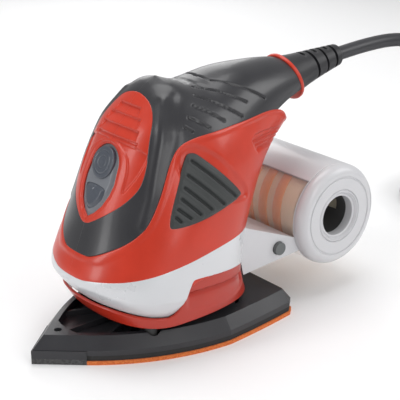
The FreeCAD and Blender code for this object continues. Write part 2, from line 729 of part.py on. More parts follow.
def switch_pieces():
    button = face_rod(round_button_radius, round_button_v, -6.0, 1.2)
    button = button.cut(face_rod(round_button_radius - 2.2, round_button_v, 0.6, 3))
    stem = face_rod(2.0, round_button_v, -8.0, -5.0)
    lower = face_prism(shield(0.0), -6.0, 0.0)
    lower_stem = face_rod(2.0, lower_button_v, -8.0, -5.0)
    lever = face_prism([(-2.5, pivot_v - rocker_arm - 2), (2.5, pivot_v - rocker_arm - 2),
                        (2.5, pivot_v + rocker_arm + 2), (-2.5, pivot_v + rocker_arm + 2)], -10.0, -8.6)
    lever = lever.fuse(rod(1.5, tuple(on_face(-5.5, pivot_v, rocker_pivot_w)), tuple(on_face(5.5, pivot_v, rocker_pivot_w))))
    block = face_prism([(-9, -9), (9, -9), (9, 15), (-9, 15)], -16.0, -8.6)
    relief = face_prism([(-4, -30), (4, -30), (4, 30), (-4, 30)], -13.0, -5)
    pivot_hole = rod(1.5 + fit, tuple(on_face(-6, pivot_v, rocker_pivot_w)), tuple(on_face(6, pivot_v, rocker_pivot_w)))
    return button.fuse(stem), lower.fuse(lower_stem), lever, block.cut(relief).cut(pivot_hole)


for switch_name, switch_shape in zip(("on_button", "off_button", "switch_rocker", "switch_body"), switch_pieces()):
    keep(switch_name, switch_shape)

# ---------------------------------------------------------------- handle end, cord guard and clamp
ring_thickness = 2.6
end_tilt = math.radians(handle_end_angle)
end_normal = Vector(0, math.sin(end_tilt), math.cos(end_tilt))
end_centre = Vector(0, sweep_y - sweep_middle(handle_end_angle) * math.cos(end_tilt),
                    sweep_z + sweep_middle(handle_end_angle) * math.sin(end_tilt))
end_radius = sweep_width(handle_end_angle) * body_width / 2
cord_start = Vector(0, 147.0, 135.0)
cord_heading = Vector(0, 0.996, 0.09).normalize()


def circle_wire(radius, centre, normal):
    return Part.Wire(Part.makeCircle(radius, centre, normal))


def cord_guard():
    start = end_centre.add(Vector(end_normal).multiply(ring_thickness))
    middle = start.add(cord_start.sub(start).multiply(0.3))
    sleeve = Part.makeLoft([circle_wire(end_radius - 1.2, start, end_normal),
                            circle_wire(end_radius * 0.78, middle, end_normal.add(cord_heading)),
                            circle_wire(guard_tip_radius, cord_start, cord_heading)], True, False)
    root = Part.makeCylinder(end_radius - 5.5, ring_thickness + 6, end_centre.sub(Vector(end_normal).multiply(6)),
                             end_normal)
    return sleeve.fuse(root)


def guard_ring():
    band = Part.makeCylinder(end_radius + 0.3, ring_thickness, end_centre, end_normal)
    return band.cut(Part.makeCylinder(end_radius - 5.5 + seat, ring_thickness + 2,
                                      end_centre.sub(end_normal), end_normal))


clamp_distance = 12.0
clamp_half_width = 7.0


def cord_clamp():
    """Saddle that grips the lead inside the handle, with its two screws."""
    centre = end_centre.sub(Vector(end_normal).multiply(clamp_distance))
    saddle = box(-clamp_half_width, clamp_half_width, centre.y - 2.5, centre.y + 2.5, centre.z - 1.0, centre.z + 6.5)
    saddle = saddle.cut(rod(cord_diameter / 2 + seat, (0, centre.y - 9, centre.z), (0, centre.y + 9, centre.z)))
    screws = [rod(1.1, (side * 5.6, centre.y, centre.z - 4), (side * 5.6, centre.y, centre.z + 8))
              for side in (-1, 1)]
    return saddle.cut(group([rod(1.2, (side * 5.6, centre.y, 60), (side * 5.6, centre.y, 160)) for side in (-1, 1)])), screws


clamp_saddle, clamp_screws = cord_clamp()
keep("guard_ring", guard_ring())
keep("cord_guard", cord_guard())
keep("cord_clamp", clamp_saddle)
keep("clamp_screws", group(clamp_screws))


def jointed_lead(points, radius):
    pieces = [rod(radius, a, b) for a, b in zip(points, points[1:])]
    pieces += [Part.makeSphere(radius, Vector(*p)) for p in points[1:-1]]
    return joined(pieces)


keep("capacitor", box(-9, 9, 34, 44, 84, 99))
keep("internal_leads", group([
    jointed_lead([(side * 2.2, 88.5, 123.5), (side * 2.2, 85.5, 130), (side * 2.4, 78, 131.5), (side * 3, 60, 128),
                  (side * 3.5, 48, 119), (side * 3.5, 30, 117), (side * 16, 14, 115), (side * 16, -4, 113)], 1.0)
    for side in (-1, 1)]))

# ---------------------------------------------------------------- dust canister
drum_y = 114.5
drum_z = 49.5
drum_right = 40.0
drum_left = drum_right - drum_length
cap_thickness = 7.0
cap_seam = drum_right - cap_thickness
edge_round = 6.0
neck_half_width = 30.0
neck_start = 46.0
neck_end = 92.0
neck_bottom = 27.0
neck_top = 57.0
neck_end_half_width = 33.0
neck_end_bottom = 32.5
neck_end_top = 38.5
neck_wall = 2.2
inlet_half_width = 14.0
inlet_bottom = 34.0
inlet_top = 38.5


def drum_rod(radius, x0, x1):
    return rod(radius, (x0, drum_y, drum_z), (x1, drum_y, drum_z))


def rounded_drum():
    """Whole drum envelope with both rims rounded."""
    solid = drum_rod(drum_radius, drum_left, drum_right)
    rims = [edge for edge in solid.Edges if abs(edge.Length - 2 * math.pi * drum_radius) < 0.5]
    return solid.makeFillet(edge_round, rims)


envelope = rounded_drum()
inlet = box(-inlet_half_width, inlet_half_width, drum_y - drum_radius - 5, drum_y - drum_radius + 10,
            inlet_bottom, inlet_top)


def canister_shell():
    shell_solid = envelope.common(box(drum_left - 1, cap_seam, 0, 300, -10, 200))
    return shell_solid.cut(drum_rod(drum_radius - drum_wall, drum_left + drum_wall + 1, cap_seam + 1)).cut(inlet)


def canister_cap():
    disc = envelope.common(box(cap_seam + 0.2, drum_right + 1, 0, 300, -10, 200))
    spigot = drum_rod(drum_radius - drum_wall - 0.4, cap_seam - 4, cap_seam + 0.3)
    spigot = spigot.cut(drum_rod(drum_radius - drum_wall - 2.4, cap_seam - 5, cap_seam + 0.2))
    return disc.fuse(spigot).cut(drum_rod(exhaust_radius, 0, 60))


filter_end = drum_left + drum_wall + 8
filter_radius = 20.0
frame_wall = 1.1
frame_outer = exhaust_radius + 0.5 + frame_wall


def filter_frame():
    core = drum_rod(frame_outer, filter_end, cap_seam + 0.2).cut(
        drum_rod(frame_outer - frame_wall, filter_end + 2, cap_seam + 1))
    for i in range(4):
        window = box(filter_end + 6, cap_seam - 8, drum_y - 3.5, drum_y + 3.5, drum_z, drum_z + 30)
        window.rotate(Vector(0, drum_y, drum_z), Vector(1, 0, 0), 90 * i)
        core = core.cut(window)
    flange = drum_rod(filter_radius, filter_end, filter_end + 2)
    return core.fuse(flange)


def filter_sleeve():
    """Pleated sleeve: a star section run along the drum."""
    pleats = 24
    outline = []
    for i in range(2 * pleats):
        radius = filter_radius if i % 2 else exhaust_radius + 3.4
        angle = math.pi * i / pleats
        outline.append((drum_y + radius * math.cos(angle), drum_z + radius * math.sin(angle)))
    star = side_prism(outline, filter_end + 2, cap_seam - 4.2)
    return star.cut(drum_rod(frame_outer, -100, 100))


vane_inner = filter_radius + 1.2
vane_outer = drum_radius - drum_wall - seat
vane_pitch = 20.0
vane_turns = 2.2
vane_start = drum_left + 11.0


def cyclone_vane():
    """Helical ramp that spins the dusty air round the filter."""
    helix = Part.makeHelix(vane_pitch, vane_pitch * vane_turns, vane_inner)
    corners = [(vane_inner, 0, -0.8), (vane_outer, 0, -0.8), (vane_outer, 0, 0.8), (vane_inner, 0, 0.8)]
    profile = Part.makePolygon([Vector(*c) for c in corners + corners[:1]])
    ramp = Part.Wire(helix.Edges).makePipeShell([profile], True, True)
    ramp = ramp if ramp.ShapeType == "Solid" else Part.Solid(Part.Shell(ramp.Faces))
    ramp.rotate(Vector(0, 0, 0), Vector(0, 1, 0), 90)
    ramp.translate(Vector(vane_start, drum_y, drum_z))
    return ramp


seal_radius = duct_radius + duct_wall + gap + 1.2
seal_front = duct_end - 6.5
seal_back = duct_end - 4.0
web_thickness = 2.5


def neck_frame(y, inset):
    """Closed rectangle of the neck's section at y, drawn in from the outside by inset."""
    share = (y - neck_start) / (neck_end - neck_start)
    half_width = neck_half_width + share * (neck_end_half_width - neck_half_width) - inset
    low = neck_bottom + share * (neck_end_bottom - neck_bottom) + inset
    high = neck_top + share * (neck_end_top - neck_top) - inset
    return Part.makePolygon([Vector(-half_width, y, low), Vector(half_width, y, low), Vector(half_width, y, high),
                             Vector(-half_width, y, high), Vector(-half_width, y, low)])


def canister_neck():
    """Tapered hollow between housing and drum, with a round socket in which the duct seats."""
    outer = Part.makeLoft([neck_frame(neck_start, 0), neck_frame(neck_end, 0)], True, True)
    inner = Part.makeLoft([neck_frame(neck_start - 1, neck_wall), neck_frame(neck_end - 1, neck_wall)], True, True)
    socket = rod(seal_radius + neck_wall, (0, neck_start, duct_z), (0, duct_end + neck_wall, duct_z))
    seal_space = rod(seal_radius, (0, neck_start - 1, duct_z), (0, seal_back, duct_z))
    whole_body = outer_half.fuse(mirrored(outer_half))
    whole_body.translate(Vector(0, gap + 0.1, 0))
    solid = outer.fuse(socket)
    web = box(-neck_half_width - 3, neck_half_width + 3, seal_back, seal_back + web_thickness, 0, 100).common(solid)
    neck = solid.cut(inner).cut(seal_space).fuse(web)
    neck = neck.cut(rod(duct_radius + duct_wall + gap, (0, 20, duct_z), (0, duct_end + 1, duct_z)))
    neck = neck.cut(whole_body).cut(drum_rod(drum_radius, drum_left - 5, drum_right + 5))
    return neck.cut(rod(latch_radius + gap, (latch_inside, latch_y, latch_z), (60, latch_y, latch_z)))


latch_radius = 3.8
latch_y = 73.0
latch_z = 37.6
latch_inside = 25.0
latch_proud = 2.2


def latch_button():
    share = (latch_y - neck_start) / (neck_end - neck_start)
    face_x = neck_half_width + share * (neck_end_half_width - neck_half_width) + latch_proud
    head = rod(latch_radius, (face_x - 4.6, latch_y, latch_z), (face_x, latch_y, latch_z))
    flange = rod(latch_radius + 0.9, (face_x - 6.4, latch_y, latch_z), (face_x - 4.9, latch_y, latch_z))
    return head.fuse(flange).fuse(rod(latch_radius, (face_x - 6, latch_y, latch_z), (face_x - 4, latch_y, latch_z)))


keep("canister_shell", canister_shell())
keep("canister_cap", canister_cap())
keep("filter_frame", filter_frame())
keep("filter_sleeve", filter_sleeve())
keep("cyclone_vane", cyclone_vane())
keep("canister_neck", canister_neck())
keep("latch_button", latch_button())
keep("neck_seal", tube(seal_radius, duct_radius + duct_wall + gap, (0, seal_front, duct_z), (0, seal_back, duct_z)))

# ---------------------------------------------------------------- mains lead
cord_radius = cord_diameter / 2
cord_route = [(0, 147, 135), (0, 178, 138), (7, 204, 138), (22, 226, 131), (42, 240, 116), (59, 248, 96),
              (68, 250, 73), (68, 250, 50), (60, 250, 29), (43, 250, 13), (22, 250, cord_radius),
              (0, 250, cord_radius)]


def lead_wire(route):
    """Straight runs joined by tangent arcs, each as large as its runs allow."""
    points = [Vector(*p) for p in route]
    edges = []
    here = points[0]
    for before, corner, after in zip(points, points[1:], points[2:]):
        into, out = corner.sub(before), after.sub(corner)
        shorter = min(into.Length, out.Length)
        into.normalize()
        out.normalize()
        turn = into.getAngle(out)
        reach = 0.45 * shorter
        radius = reach / math.tan(turn / 2)
        start = corner.sub(Vector(into).multiply(reach))
        end = corner.add(Vector(out).multiply(reach))
        inward = Vector(out).sub(into).normalize()
        middle = corner.add(inward.multiply(radius / math.cos(turn / 2) - radius))
        print("lead bend radius %.0f mm" % radius)
        edges.append(Part.makeLine(here, start))
        edges.append(Part.Arc(start, middle, end).toShape())
        here = end
    edges.append(Part.makeLine(here, points[-1]))
    return Part.Wire(edges)


def lead_tube(route):
    path = lead_wire(route)
    section = circle_wire(cord_radius, Vector(*route[0]), path.Edges[0].tangentAt(0))
    solid = path.makePipeShell([section], True, False)
    expected = math.pi * cord_radius ** 2 * path.Length
    print("lead length %.0f mm, volume ratio %.4f" % (path.Length, solid.Volume / expected))
    return solid


coil_columns = 3
coil_layers = 2
coil_inner = coil_mean_diameter / 2 - coil_columns * cord_radius
coil_outer = coil_mean_diameter / 2 + coil_columns * cord_radius
coil_height = coil_layers * cord_diameter
lead_end = Vector(*cord_route[-1])
lead_last = lead_end.sub(Vector(*cord_route[-2])).normalize()
coil_side = Vector(lead_last.y, -lead_last.x, 0)
coil_centre = lead_end.add(Vector(coil_side).multiply(coil_outer - cord_radius))

keep("power_cord", lead_tube(cord_route))
keep("cord_coil", ring(coil_outer, coil_inner, 0, coil_height, coil_centre.x, coil_centre.y))

plug_length = 36.0
plug_radius = 17.0
plug_height = 22.0
pin_radius = 2.4
pin_length = 19.0
pin_spacing = 19.0
tail_top = coil_height - cord_radius
tail_offsets = [(-51.9, 21, tail_top), (-46.5, 43, 12.4), (-34, 62, 11.8), (-14, 74, 11.2), (12, 78.5, 11)]
tail_route = [(coil_centre.x + x, coil_centre.y + y, z) for x, y, z in tail_offsets]
plug_x, plug_y = tail_route[-1][0] - 0.5, tail_route[-1][1]


def plug_pieces():
    """Two-pin contour plug lying on its flat beside the coil, its pins towards +X."""
    body = box(plug_x, plug_x + plug_length, plug_y - plug_radius, plug_y + plug_radius, 0, plug_height)
    upright_edges = [e for e in body.Edges if abs(e.Length - plug_height) < 0.01]
    body = body.makeFillet(8.0, upright_edges)
    pins = [rod(pin_radius, (plug_x + plug_length, plug_y + side * pin_spacing / 2, plug_height / 2),
                (plug_x + plug_length + pin_length, plug_y + side * pin_spacing / 2, plug_height / 2))
            for side in (-1, 1)]
    return body, group(pins)


plug_body, plug_pins = plug_pieces()
keep("cord_tail", lead_tube(tail_route))
keep("plug_body", plug_body)
keep("plug_pins", plug_pins)

# ---------------------------------------------------------------- export
for name, shape in nodes.items():
    shape.exportStep("parts/" + name + ".step")
print(len(nodes), "nodes")
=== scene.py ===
import math

import bmesh
import bpy
import numpy as np
from mathutils import Matrix, Vector


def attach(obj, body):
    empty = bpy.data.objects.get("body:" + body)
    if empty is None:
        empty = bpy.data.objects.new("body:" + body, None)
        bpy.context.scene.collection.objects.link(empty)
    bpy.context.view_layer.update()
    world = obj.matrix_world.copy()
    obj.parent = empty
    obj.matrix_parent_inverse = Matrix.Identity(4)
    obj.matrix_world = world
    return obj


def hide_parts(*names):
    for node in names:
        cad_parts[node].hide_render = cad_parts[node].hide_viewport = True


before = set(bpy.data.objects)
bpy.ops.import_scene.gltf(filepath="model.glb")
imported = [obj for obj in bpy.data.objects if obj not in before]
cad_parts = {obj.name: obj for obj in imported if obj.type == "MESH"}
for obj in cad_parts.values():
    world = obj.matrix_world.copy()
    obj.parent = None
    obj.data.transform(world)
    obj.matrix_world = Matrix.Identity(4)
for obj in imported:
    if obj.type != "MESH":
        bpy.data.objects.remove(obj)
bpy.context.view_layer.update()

# Shapes below are worked in millimetres, in the frame of the CAD model, and turned to metres by piece().
MM = 0.001
BODY_WIDTH = 96.0
SKIN = 1.5
BOOT_BOTTOM = 20.0


# ------------------------------------------------------------------ materials
def shader_nodes(name):
    material = bpy.data.materials.new(name)
    material.use_nodes = True
    tree = material.node_tree
    return material, tree, tree.nodes["Principled BSDF"]


def set_inputs(shader, **values):
    for key, value in values.items():
        shader.inputs[key.replace("_", " ")].default_value = value


def add(tree, kind, **inputs):
    node = tree.nodes.new(kind)
    for key, value in inputs.items():
        node.inputs[key.replace("_", " ")].default_value = value
    return node


def moulded(name, colour, rough, grain=900.0, depth=0.05, mottle=0.08, coat=0.0, metal=0.0):
    """Moulded plastic or rubber: fine texture, slow colour drift and uneven gloss."""
    material, tree, shader = shader_nodes(name)
    set_inputs(shader, Metallic=metal, Coat_Weight=coat, Coat_Roughness=0.12)
    place = tree.nodes.new("ShaderNodeTexCoord")
    slow = add(tree, "ShaderNodeTexNoise", Scale=38.0, Detail=4.0, Roughness=0.6)
    fine = add(tree, "ShaderNodeTexNoise", Scale=grain, Detail=2.0, Roughness=0.55)
    ramp = tree.nodes.new("ShaderNodeValToRGB")
    ramp.color_ramp.elements[0].position = 0.3
    ramp.color_ramp.elements[1].position = 0.7
    ramp.color_ramp.elements[0].color = [c * (1 - mottle) for c in colour] + [1]
    ramp.color_ramp.elements[1].color = [min(c * (1 + mottle), 1.0) for c in colour] + [1]
    spread = add(tree, "ShaderNodeMapRange", From_Min=0.3, From_Max=0.7,
                 To_Min=rough - 0.05, To_Max=rough + 0.06)
    bump = add(tree, "ShaderNodeBump", Strength=depth, Distance=0.0004)
    links = tree.links
    links.new(place.outputs["Object"], slow.inputs["Vector"])
    links.new(place.outputs["Object"], fine.inputs["Vector"])
    links.new(slow.outputs["Fac"], ramp.inputs["Fac"])
    links.new(ramp.outputs["Color"], shader.inputs["Base Color"])
    links.new(slow.outputs["Fac"], spread.inputs["Value"])
    links.new(spread.outputs["Result"], shader.inputs["Roughness"])
    links.new(fine.outputs["Fac"], bump.inputs["Height"])
    links.new(bump.outputs["Normal"], shader.inputs["Normal"])
    return material


def gritty(name, dark, light, scale):
    """Abrasive coating: packed grains of mixed tone over the backing."""
    material, tree, shader = shader_nodes(name)
    set_inputs(shader, Roughness=0.85)
    place = tree.nodes.new("ShaderNodeTexCoord")
    grains = add(tree, "ShaderNodeTexVoronoi", Scale=scale)
    ramp = tree.nodes.new("ShaderNodeValToRGB")
    ramp.color_ramp.elements[0].color = list(dark) + [1]
    ramp.color_ramp.elements[1].color = list(light) + [1]
    bump = add(tree, "ShaderNodeBump", Strength=0.5, Distance=0.0004)
    links = tree.links
    links.new(place.outputs["Object"], grains.inputs["Vector"])
    links.new(grains.outputs["Color"], ramp.inputs["Fac"])
    links.new(ramp.outputs["Color"], shader.inputs["Base Color"])
    links.new(grains.outputs["Distance"], bump.inputs["Height"])
    links.new(bump.outputs["Normal"], shader.inputs["Normal"])
    return material


def brushed(name, colour, rough):
    """Turned or ground metal with fine streaks."""
    material, tree, shader = shader_nodes(name)
    set_inputs(shader, Metallic=1.0)
    place = tree.nodes.new("ShaderNodeTexCoord")
    stretch = add(tree, "ShaderNodeMapping", Scale=(400, 400, 3000))
    streak = add(tree, "ShaderNodeTexNoise", Scale=1.0, Detail=3.0)
    ramp = tree.nodes.new("ShaderNodeValToRGB")
    ramp.color_ramp.elements[0].color = [c * 0.8 for c in colour] + [1]
    ramp.color_ramp.elements[1].color = list(colour) + [1]
    spread = add(tree, "ShaderNodeMapRange", To_Min=rough - 0.08, To_Max=rough + 0.1)
    links = tree.links
    links.new(place.outputs["Object"], stretch.inputs["Vector"])
    links.new(stretch.outputs["Vector"], streak.inputs["Vector"])
    links.new(streak.outputs["Fac"], ramp.inputs["Fac"])
    links.new(streak.outputs["Fac"], spread.inputs["Value"])
    links.new(ramp.outputs["Color"], shader.inputs["Base Color"])
    links.new(spread.outputs["Result"], shader.inputs["Roughness"])
    return material


def clear(name, colour, rough, see_through):
    """Thin clear moulding that lets this share of the light straight through."""
    material = moulded(name, colour, rough, grain=300.0, depth=0.03, mottle=0.03)
    set_inputs(material.node_tree.nodes["Principled BSDF"], IOR=1.45, Alpha=1.0 - see_through)
    return material


M = {
    "red": moulded("housing_red", (0.55, 0.026, 0.004), 0.34, coat=0.2),
    "boot_red": moulded("boot_red", (0.44, 0.022, 0.007), 0.34, coat=0.2),
    "grip": moulded("grip_rubber", (0.022, 0.022, 0.026), 0.34, grain=1500.0, depth=0.08, coat=0.2),
    "pad": moulded("pad_rubber", (0.034, 0.038, 0.038), 0.5, grain=1100.0, depth=0.2),
    "band": moulded("band_silver", (0.66, 0.67, 0.69), 0.30, depth=0.008, mottle=0.01, coat=0.3, metal=0.15),
    "bezel": moulded("bezel_plastic", (0.16, 0.17, 0.19), 0.34, coat=0.3),
    "button": moulded("button_plastic", (0.055, 0.065, 0.085), 0.30, coat=0.4),
    "guard": moulded("guard_rubber", (0.020, 0.020, 0.023), 0.44, grain=1200.0, depth=0.12),
    "platen": moulded("platen_plastic", (0.026, 0.026, 0.030), 0.38, grain=1300.0, depth=0.15),
    "foam": moulded("foam_pad", (0.03, 0.03, 0.03), 0.9, grain=500.0, depth=0.6),
    "abrasive": gritty("abrasive", (0.60, 0.11, 0.02), (0.82, 0.24, 0.06), 1400.0),
    "tip_abrasive": gritty("tip_abrasive", (0.04, 0.04, 0.04), (0.10, 0.10, 0.10), 1100.0),
    "silver": moulded("canister_silver", (0.62, 0.62, 0.64), 0.32, depth=0.008, mottle=0.01, coat=0.3),
    "clear": clear("clear_plastic", (0.93, 0.93, 0.92), 0.08, 0.84),
    "amber": moulded("amber_plastic", (0.80, 0.27, 0.025), 0.35, mottle=0.05, coat=0.3),
    "liner": moulded("liner_beige", (0.84, 0.70, 0.46), 0.4, mottle=0.04),
    "paper": moulded("filter_paper", (0.72, 0.66, 0.52), 0.9, grain=700.0, depth=0.5),
    "frame": moulded("frame_plastic", (0.07, 0.07, 0.07), 0.5),
    "latch": moulded("latch_plastic", (0.12, 0.13, 0.13), 0.4),
    "seal": moulded("seal_rubber", (0.03, 0.03, 0.03), 0.7),
    "switch": moulded("switch_plastic", (0.04, 0.04, 0.04), 0.45),
    "steel": brushed("screw_steel", (0.55, 0.55, 0.57), 0.35),
    "bearing": brushed("bearing_steel", (0.6, 0.6, 0.62), 0.25),
    "laminations": brushed("laminations", (0.30, 0.30, 0.32), 0.5),
    "copper": brushed("copper", (0.72, 0.32, 0.14), 0.4),
    "brass": brushed("brass", (0.78, 0.60, 0.28), 0.3),
    "carbon": moulded("carbon", (0.03, 0.03, 0.032), 0.5),
    "capacitor": moulded("capacitor_film", (0.62, 0.50, 0.09), 0.4),
    "lead": moulded("lead_insulation", (0.04, 0.10, 0.35), 0.4),
    "leg": moulded("leg_rubber", (0.035, 0.035, 0.035), 0.6),
    "cord": moulded("cord_rubber", (0.035, 0.035, 0.040), 0.36, grain=1200.0, depth=0.08),
    "plug": moulded("plug_plastic", (0.05, 0.05, 0.055), 0.45),
}

CAD_LOOKS = {
    "boot": "boot_red", "guard_ring": "red", "housing_right": "red", "housing_left": "red",
    "grip_right": "grip", "grip_left": "grip", "side_pad_right": "pad", "side_pad_left": "pad",
    "band_right": "band", "band_left": "band", "switch_bezel": "bezel", "on_button": "button",
    "off_button": "button", "cord_guard": "guard", "platen": "platen", "tip_plate": "platen",
    "base_pad": "foam", "sanding_sheet": "abrasive", "tip_sheet": "tip_abrasive", "canister_shell": "silver",
    "canister_cap": "silver", "canister_neck": "silver", "cyclone_vane": "amber", "filter_sleeve": "paper",
    "filter_frame": "frame", "dust_duct": "frame", "fan": "frame", "bearing_plate": "frame",
    "latch_button": "latch", "neck_seal": "seal", "switch_body": "switch", "switch_rocker": "switch",
    "cord_clamp": "switch", "housing_screws": "steel", "clamp_screws": "steel", "tip_screw": "steel",
    "lower_bearing": "bearing", "upper_bearing": "bearing",
    "orbit_bearing": "bearing", "bearing_cover": "bearing",
    "armature_shaft": "bearing", "stator_core": "laminations", "armature_core": "laminations",
    "field_coils": "copper", "armature_windings": "copper", "commutator": "copper", "brush_holders": "brass",
    "plug_pins": "brass", "carbon_brushes": "carbon",
    "brush_springs": "steel", "counterweight": "laminations",
    "capacitor": "capacitor", "internal_leads": "lead", "support_legs": "leg", "power_cord": "cord",
    "cord_coil": "cord", "cord_tail": "cord", "plug_body": "plug",
}
for node_name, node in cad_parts.items():
    node.data.materials.clear()
    node.data.materials.append(M[CAD_LOOKS[node_name]])


# ------------------------------------------------------------------ pieces
def piece(name, points, faces, look, body, replaces=(), smooth=True):
    """A mesh piece from points in millimetres, riding on a body."""
    mesh = bpy.data.meshes.new(name)
    mesh.from_pydata((np.asarray(points, float) * MM).tolist(), [], [list(map(int, f)) for f in faces])
    mesh.materials.append(M[look])
    mesh.validate()
    mesh.update()
    if smooth:
        mesh.polygons.foreach_set("use_smooth", [True] * len(mesh.polygons))
    thing = bpy.data.objects.new(name, mesh)
    bpy.context.scene.collection.objects.link(thing)
    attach(thing, body)
    if replaces:
        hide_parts(*replaces)
    return thing


def split_sharp(thing, degrees=35.0):
    """Flat shading across edges sharper than an angle."""
    mesh = thing.data
    mesh.set_sharp_from_angle(angle=math.radians(degrees))
    return thing


# ------------------------------------------------------------------ body surface
def smooth_curve(stations):
    """Shape-preserving cubic through (place, value) stations, for arrays."""
    at = np.array([s[0] for s in stations], float)
    value = np.array([s[1] for s in stations], float)
    step = np.diff(at)
    rise = np.diff(value) / step
    slope = np.zeros(len(at))
    slope[0], slope[-1] = rise[0], rise[-1]
    for i in range(1, len(at) - 1):
        if rise[i - 1] * rise[i] > 0:
            before, after = 2 * step[i] + step[i - 1], step[i] + 2 * step[i - 1]
            slope[i] = (before + after) / (before / rise[i - 1] + after / rise[i])

    def curve(place):
        place = np.clip(place, at[0], at[-1])
        i = np.clip(np.searchsorted(at, place, side="right") - 1, 0, len(step) - 1)
        h = step[i]
        t = (place - at[i]) / h
        return (value[i] * (1 + 2 * t) * (1 - t) ** 2 + h * slope[i] * t * (1 - t) ** 2
                + value[i + 1] * t * t * (3 - 2 * t) - h * slope[i + 1] * t * t * (1 - t))
    return curve


SWEEP_Y, SWEEP_Z = 152.0, 17.0
HEAD_TOP = 144.8
END_ANGLE = 66.0
sweep_middle = smooth_curve([(0, 158), (10, 157), (25, 150), (32, 147), (43, 143), (51, 135.5), (66, 121.5)])
sweep_back = smooth_curve([(0, 95), (8, 102), (20, 107), (35, 106), (45, 103), (55, 102), (66, 107)])
sweep_front = smooth_curve([(0, 187), (3, 194), (6, 200.5), (8, 202), (11, 199.8), (16, 193), (22, 187),
                            (38, 181), (43, 176), (46.5, 169.5), (51, 162), (58, 149), (66, 136)])
sweep_width = smooth_curve([(0, 0.94), (8, 1.0), (14, 1.0), (20, 0.98), (28, 0.917), (35, 0.823),
                            (45, 0.625), (51, 0.52), (58, 0.417), (66, 0.312)])
sweep_front_power = smooth_curve([(0, 2.6), (6, 2.35), (20, 2.3), (35, 2.3), (51, 2.1), (66, 2.0)])
sweep_back_power = smooth_curve([(0, 3.2), (10, 3.0), (30, 2.6), (50, 2.3), (66, 2.0)])
head_front = smooth_curve([(15, -30), (20, -34), (36, -45.5), (43.5, -48.4), (55, -44.2), (71.5, -39.3),
                           (81, -36.3), (99, -28.5), (112, -22), (121, -16.8), (131, -8.8), (137, -3.5),
                           (142, 3), (HEAD_TOP, 9)])
head_back = smooth_curve([(15, 40), (60, 50), (100, 50), (121, 42), (131, 35), (138, 26), (HEAD_TOP, 10)])
head_width = smooth_curve([(15, 0.833), (43, 0.917), (60, 0.906), (80, 0.865), (99, 0.80), (112, 0.73),
                           (121, 0.656), (131, 0.52), (137, 0.406), (142, 0.24), (HEAD_TOP, 0.02)])
head_power = smooth_curve([(15, 2.2), (80, 2.2), (100, 2.35), (121, 2.4), (HEAD_TOP, 2.1)])
BLEND = 9.0


def oval_distance(a, b, half_a, half_b, power):
    share = ((np.abs(a) / half_a) ** power + (np.abs(b) / half_b) ** power) ** (1 / power)
    return np.hypot(a, b) * (1 - 1 / np.maximum(share, 1e-6))


def body_distance(p):
    """Signed distance, near enough, from the body surface; negative inside."""
    x, y, z = p[..., 0], p[..., 1], p[..., 2]
    rho = np.hypot(SWEEP_Y - y, z - SWEEP_Z)
    angle = np.degrees(np.arctan2(z - SWEEP_Z, SWEEP_Y - y))
    middle = sweep_middle(angle)
    ahead = rho > middle
    depth = np.where(ahead, sweep_front(angle) - middle, middle - sweep_back(angle))
    power = np.where(ahead, sweep_front_power(angle), sweep_back_power(angle))
    flank = oval_distance(x, rho - middle, sweep_width(angle) * BODY_WIDTH / 2, depth, power)
    front, back = head_front(z), head_back(z)
    head = oval_distance(x, y - (front + back) / 2, head_width(z) * BODY_WIDTH / 2, (back - front) / 2,
                         head_power(z)) + np.maximum(z - HEAD_TOP, 0)
    near = np.maximum(1 - np.abs(flank - head) / BLEND, 0)
    return np.minimum(flank, head) - BLEND * near * near / 4


def body_normal(p):
    step = 0.25
    parts = []
    for axis in range(3):
        shift = np.zeros(3)
        shift[axis] = step
        parts.append(body_distance(p + shift) - body_distance(p - shift))
    normal = np.stack(parts, -1)
    return normal / np.maximum(np.linalg.norm(normal, axis=-1, keepdims=True), 1e-9)


def to_surface(inside, direction, reach):
    """First point of the body surface along each ray from inside."""
    low = np.zeros(inside.shape[:-1])
    high = np.full(inside.shape[:-1], float(reach))
    for _ in range(20):
        middle = (low + high) / 2
        within = body_distance(inside + direction * middle[..., None]) < 0
        low = np.where(within, middle, low)
        high = np.where(within, high, middle)
    return inside + direction * ((low + high) / 2)[..., None]


def swept_sheet(angles, turns):
    """Grid of points on the right half of the body, by swept section and turn about its middle."""
    tilt, turn = np.meshgrid(np.radians(angles), np.radians(turns), indexing="ij")
    middle = sweep_middle(np.degrees(tilt))
    centre = np.stack([np.zeros_like(tilt), SWEEP_Y - middle * np.cos(tilt),
                       SWEEP_Z + middle * np.sin(tilt)], -1)
    direction = np.stack([np.cos(turn), -np.sin(turn) * np.cos(tilt), np.sin(turn) * np.sin(tilt)], -1)
    points = to_surface(centre, direction, 90.0)
    points[:, 0, 0] = points[:, -1, 0] = 0.0
    return points, body_normal(points)


# ------------------------------------------------------------------ outlines
def rounded(points, rounds=2, closed=True):
    """Corner-cutting smoothing of an outline."""
    points = np.asarray(points, float)
    for _ in range(rounds):
        following = np.roll(points, -1, 0) if closed else points[1:]
        base = points if closed else points[:-1]
        cut = np.stack([base * 0.75 + following * 0.25, base * 0.25 + following * 0.75], 1).reshape(-1, 2)
        points = cut if closed else np.vstack([points[:1], cut, points[-1:]])
    return points


def run_distance(p, points, closed):
    """Distance of 2-D points from a polyline."""
    ends = np.roll(points, -1, 0) if closed else points[1:]
    starts = points if closed else points[:-1]
    best = np.full(p.shape[:-1], 1e9)
    for a, b in zip(starts, ends):
        along = b - a
        share = np.clip(((p - a) @ along) / max(along @ along, 1e-9), 0, 1)
        best = np.minimum(best, np.linalg.norm(p - a - share[..., None] * along, axis=-1))
    return best


